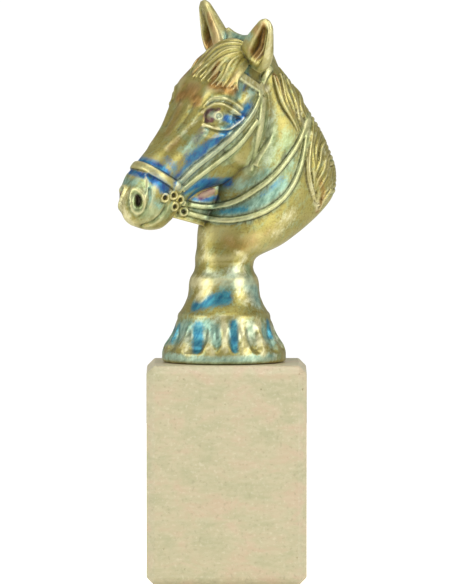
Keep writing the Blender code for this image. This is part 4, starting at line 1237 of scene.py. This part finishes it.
def gilt_patinated_metal():
    """Cast light alloy, gilt and flame-blued: yellow metal under a thin blue and sea-green film.

    It gives bright yellow on ridges, part rubbed gilt and part painted highlight, painted shade of dark brown
    in the hollows, and blue in drifts.
    """
    made, tree, shader, place = blank("gilt_patinated_metal")
    drift = {"Vector": place, "Scale": per_metre(9), "Detail": 4.0}
    drift = add(tree, "ShaderNodeTexNoise", drift).outputs["Fac"]
    drawn_out = {"Vector": place, "Rotation": (0.0, STREAK_LEAN, 0.0), "Scale": (1.0, 1.0, STREAK_LENGTH)}
    drawn_out = add(tree, "ShaderNodeMapping", drawn_out, vector_type="TEXTURE").outputs[0]
    streak = {"Vector": drawn_out, "Scale": per_metre(2.4), "Detail": 5.0, "Roughness": 0.65}
    streak = add(tree, "ShaderNodeTexNoise", streak).outputs["Fac"]
    grain = {"Vector": place, "Scale": per_metre(0.9), "Detail": 3.0}
    grain = add(tree, "ShaderNodeTexNoise", grain).outputs["Fac"]
    ragged = add(tree, "ShaderNodeMath", {0: streak, 1: grain}, operation="ADD").outputs[0]
    mottle = {"Value": streak, "From Min": 0.38, "From Max": 0.62}
    mottle = add(tree, "ShaderNodeMapRange", mottle).outputs[0]

    gold = {0: drift, "A": colour(GOLD[0]), "B": colour(GOLD[1])}
    tone = add(tree, "ShaderNodeMix", gold, data_type="RGBA").outputs["Result"]
    tone = coat(tree, tone, streak, FILM_COAT)
    tone = coat(tree, tone, grain, DUST_COAT)
    for name, dull, bright, full in TINTS:
        felt = add(tree, "ShaderNodeAttribute", {}, attribute_name=name).outputs["Fac"]
        edge = {0: ragged, 1: RAGGED, 2: felt}
        edge = add(tree, "ShaderNodeMath", edge, operation="MULTIPLY_ADD").outputs[0]
        low, high = (RAGGED + past for past in TINT_EDGE)
        amount = {"Value": edge, "From Min": low, "From Max": high, "To Max": full}
        amount = add(tree, "ShaderNodeMapRange", amount, interpolation_type="SMOOTHSTEP").outputs[0]
        tint = {0: mottle, "A": colour(dull), "B": colour(bright)}
        tint = add(tree, "ShaderNodeMix", tint, data_type="RGBA").outputs["Result"]
        over = {0: amount, "A": tone, "B": tint}
        tone = add(tree, "ShaderNodeMix", over, data_type="RGBA").outputs["Result"]

    fine = add(tree, "ShaderNodeAttribute", {}, attribute_name="fine_hollow").outputs["Fac"]
    broad = add(tree, "ShaderNodeAttribute", {}, attribute_name="broad_hollow").outputs["Fac"]
    # Painted highlight, with rubbed gilt, on ridges; painted shade in broad hollows and in creases
    tone = coat(tree, tone, fine, RUBBED_AND_HIGHLIGHT_COAT)
    tone = coat(tree, tone, broad, DEEP_PAINTED_SHADE)
    tone = coat(tree, tone, fine, SUNK_PAINTED_SHADE)
    tree.links.new(tone, shader.inputs["Base Color"])

    polish = add(tree, "ShaderNodeMapRange", {"Value": streak, "To Min": 0.28, "To Max": 0.50}).outputs[0]
    tree.links.new(polish, shader.inputs["Roughness"])
    shader.inputs["Metallic"].default_value = 0.75
    tooth = {"Strength": 0.5, "Distance": 0.00012, "Height": grain}
    tooth = add(tree, "ShaderNodeBump", tooth).outputs[0]
    skin = {"Strength": 0.4, "Distance": 0.0004, "Height": streak, "Normal": tooth}
    skin = add(tree, "ShaderNodeBump", skin).outputs[0]
    tree.links.new(skin, shader.inputs["Normal"])
    return made


def honed_beige_marble():
    """Beige marble, sawn and honed: level clouds of green-grey and pink beige, fine grain, specks."""
    made, tree, shader, place = blank("honed_beige_marble")
    level = add(tree, "ShaderNodeMapping", {"Vector": place, "Scale": (1.0, 1.0, 1.7)}).outputs[0]
    bed = add(tree, "ShaderNodeMapping", {"Vector": place, "Scale": (1.0, 1.0, 2.5)}).outputs[0]
    cloud = {"Vector": level, "Scale": per_metre(15), "Detail": 6.0, "Roughness": 0.6, "Distortion": 0.4}
    cloud = add(tree, "ShaderNodeTexNoise", cloud).outputs["Fac"]
    grain = {"Vector": bed, "Scale": per_metre(3.5), "Detail": 6.0}
    grain = add(tree, "ShaderNodeTexNoise", grain).outputs["Fac"]
    speck = {"Vector": place, "Scale": per_metre(1.6), "Detail": 2.0}
    speck = add(tree, "ShaderNodeTexNoise", speck).outputs["Fac"]
    clouds = add(tree, "ShaderNodeValToRGB", {"Fac": cloud})
    ramp = clouds.color_ramp.elements
    ramp.new(CLOUDS[1][0])
    for stop, (at, tint) in zip(ramp, CLOUDS):
        stop.position, stop.color = at, colour(tint)
    tone = coat(tree, clouds.outputs["Color"], grain, BED_COAT)
    tone = coat(tree, tone, speck, DARK_SPECKS)
    tone = coat(tree, tone, speck, LIGHT_SPECKS)
    tree.links.new(tone, shader.inputs["Base Color"])
    polish = add(tree, "ShaderNodeMapRange", {"Value": grain, "To Min": 0.34, "To Max": 0.52}).outputs[0]
    tree.links.new(polish, shader.inputs["Roughness"])
    shader.inputs["IOR"].default_value = 1.5
    skin = add(tree, "ShaderNodeBump", {"Strength": 0.3, "Distance": 0.0001, "Height": speck}).outputs[0]
    tree.links.new(skin, shader.inputs["Normal"])
    return made


def pale_floor():
    """Matt white paper, with the faint tooth of its fibres."""
    made, tree, shader, place = blank("pale_paper")
    fibre = {"Vector": place, "Scale": per_metre(2.0), "Detail": 4.0}
    fibre = add(tree, "ShaderNodeTexNoise", fibre).outputs["Fac"]
    tone = {0: fibre, "A": colour("#F2F2F1"), "B": colour("#F7F7F6")}
    tone = add(tree, "ShaderNodeMix", tone, data_type="RGBA").outputs["Result"]
    tree.links.new(tone, shader.inputs["Base Color"])
    shader.inputs["Roughness"].default_value = 0.9
    shader.inputs["Emission Color"].default_value = colour("#FFFFFF")
    seen = add(tree, "ShaderNodeLightPath", {}).outputs["Is Camera Ray"]
    glow = {"Value": seen, "To Min": FLOOR_GLOW, "To Max": BACKDROP}
    glow = add(tree, "ShaderNodeMapRange", glow).outputs[0]
    tree.links.new(glow, shader.inputs["Emission Strength"])
    return made


# Block, floor, light and camera
def marble_block():
    """The block, its edges chamfered and their corners eased, with the small pits of the stone."""
    mesh = bpy.data.meshes.new("marble_block_honed")
    shape = bmesh.new()
    bmesh.ops.create_cube(shape, size=1)
    size = Matrix.Diagonal((BLOCK_WIDTH, BLOCK_DEPTH, BLOCK_HEIGHT, 1))
    shape.transform(Matrix.Translation((0, 0, BLOCK_HEIGHT / 2)) @ size)
    bmesh.ops.bevel(shape, geom=shape.edges[:], offset=BLOCK_CHAMFER, segments=1, affect="EDGES", profile=0.5)
    bmesh.ops.bevel(shape, geom=shape.edges[:], offset=BLOCK_EASE, segments=3, affect="EDGES", profile=0.5)
    shape.to_mesh(mesh)
    shape.free()
    block = placed("marble_block_honed", mesh)
    pits = bmesh.new()
    for (x, y, z), size in PITS:
        pit = bmesh.ops.create_icosphere(pits, subdivisions=2, radius=size)
        for vert in pit["verts"]:
            vert.co += Vector((x, y, z))
    cutter_mesh = bpy.data.meshes.new("pits")
    pits.to_mesh(cutter_mesh)
    pits.free()
    cutter = placed("pits", cutter_mesh)
    cut = block.modifiers.new("pits", "BOOLEAN")
    cut.operation = "DIFFERENCE"
    cut.object = cutter
    block.data = applied(block)
    block.modifiers.clear()
    bpy.data.objects.remove(cutter, do_unlink=True)
    return block


def softbox(name, place, aim, size, power, tint):
    """A rectangular soft light, turned to shine at a point."""
    lamp = bpy.data.lights.new(name, "AREA")
    lamp.shape = "RECTANGLE"
    lamp.size, lamp.size_y = size
    lamp.energy = power
    lamp.color = colour(tint)[:3]
    light = placed(name, lamp)
    light.location = place
    light.rotation_euler = (Vector(aim) - Vector(place)).to_track_quat("-Z", "Y").to_euler()


def studio():
    """A pale floor, soft lights to the left, right and above, and white all round."""
    mesh = bpy.data.meshes.new("floor")
    corners = [(x * FLOOR_HALF, y * FLOOR_HALF, 0) for x, y in ((-1, -1), (1, -1), (1, 1), (-1, 1))]
    mesh.from_pydata(corners, [], [(0, 1, 2, 3)])
    floor = placed("floor", mesh)
    floor.data.materials.append(pale_floor())
    world = bpy.data.worlds.new("white_room")
    bpy.context.scene.world = world
    world.use_nodes = True
    room = world.node_tree
    seen = add(room, "ShaderNodeLightPath", {}).outputs["Is Camera Ray"]
    level = add(room, "ShaderNodeMapRange", {"Value": seen, "To Min": ROOM_LIGHT, "To Max": BACKDROP})
    room.links.new(level.outputs[0], room.nodes["Background"].inputs["Strength"])
    room.nodes["Background"].inputs["Color"].default_value = colour("#FFFFFF")
    bpy.context.scene.view_settings.view_transform = "Standard"
    for lamp in LAMPS:
        softbox(*lamp)


def camera():
    """The photograph's view: level but for three degrees, through a long lens."""
    lens = bpy.data.cameras.new("camera")
    seen = placed("camera", lens)
    lens.sensor_width = 36
    lens.lens = lens.sensor_width * CAMERA_AWAY / (max(IMAGE) * PIXEL)
    look = Vector((0, math.cos(FRONT_VIEW_DROP), -math.sin(FRONT_VIEW_DROP)))
    over = Vector((0, math.sin(FRONT_VIEW_DROP), math.cos(FRONT_VIEW_DROP)))
    across = (IMAGE[0] / 2 - MIDDLE_X) * PIXEL
    above = (UNDERSIDE_Y - IMAGE[1] / 2) * PIXEL
    seen.location = Vector((across, 0, 0)) + over * above - look * CAMERA_AWAY
    seen.rotation_euler = look.to_track_quat("-Z", "Y").to_euler()
    lens.clip_start, lens.clip_end = 0.05, 60
    bpy.context.scene.camera = seen


def kept(piece, node, slot):
    """A finished piece rides on the part's one body, in the place of its plain solid."""
    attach(piece, "root")
    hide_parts(node)


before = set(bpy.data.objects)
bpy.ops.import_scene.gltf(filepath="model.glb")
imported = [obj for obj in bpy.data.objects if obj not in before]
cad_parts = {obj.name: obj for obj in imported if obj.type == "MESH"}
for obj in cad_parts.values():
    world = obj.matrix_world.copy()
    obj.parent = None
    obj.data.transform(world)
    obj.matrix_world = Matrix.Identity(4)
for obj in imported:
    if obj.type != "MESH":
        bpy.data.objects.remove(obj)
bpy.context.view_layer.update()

shells, bare = shells_of_casting()
trophy = one_skin(shells, "horse_head_cast_skin")
add_patina(trophy, bare)
trophy.data.materials.append(gilt_patinated_metal())
kept(trophy, "horse_head_casting", "gilt_patinated_metal")

plinth = marble_block()
plinth.data.materials.append(honed_beige_marble())
kept(plinth, "marble_block", "beige_marble")

studio()
camera()
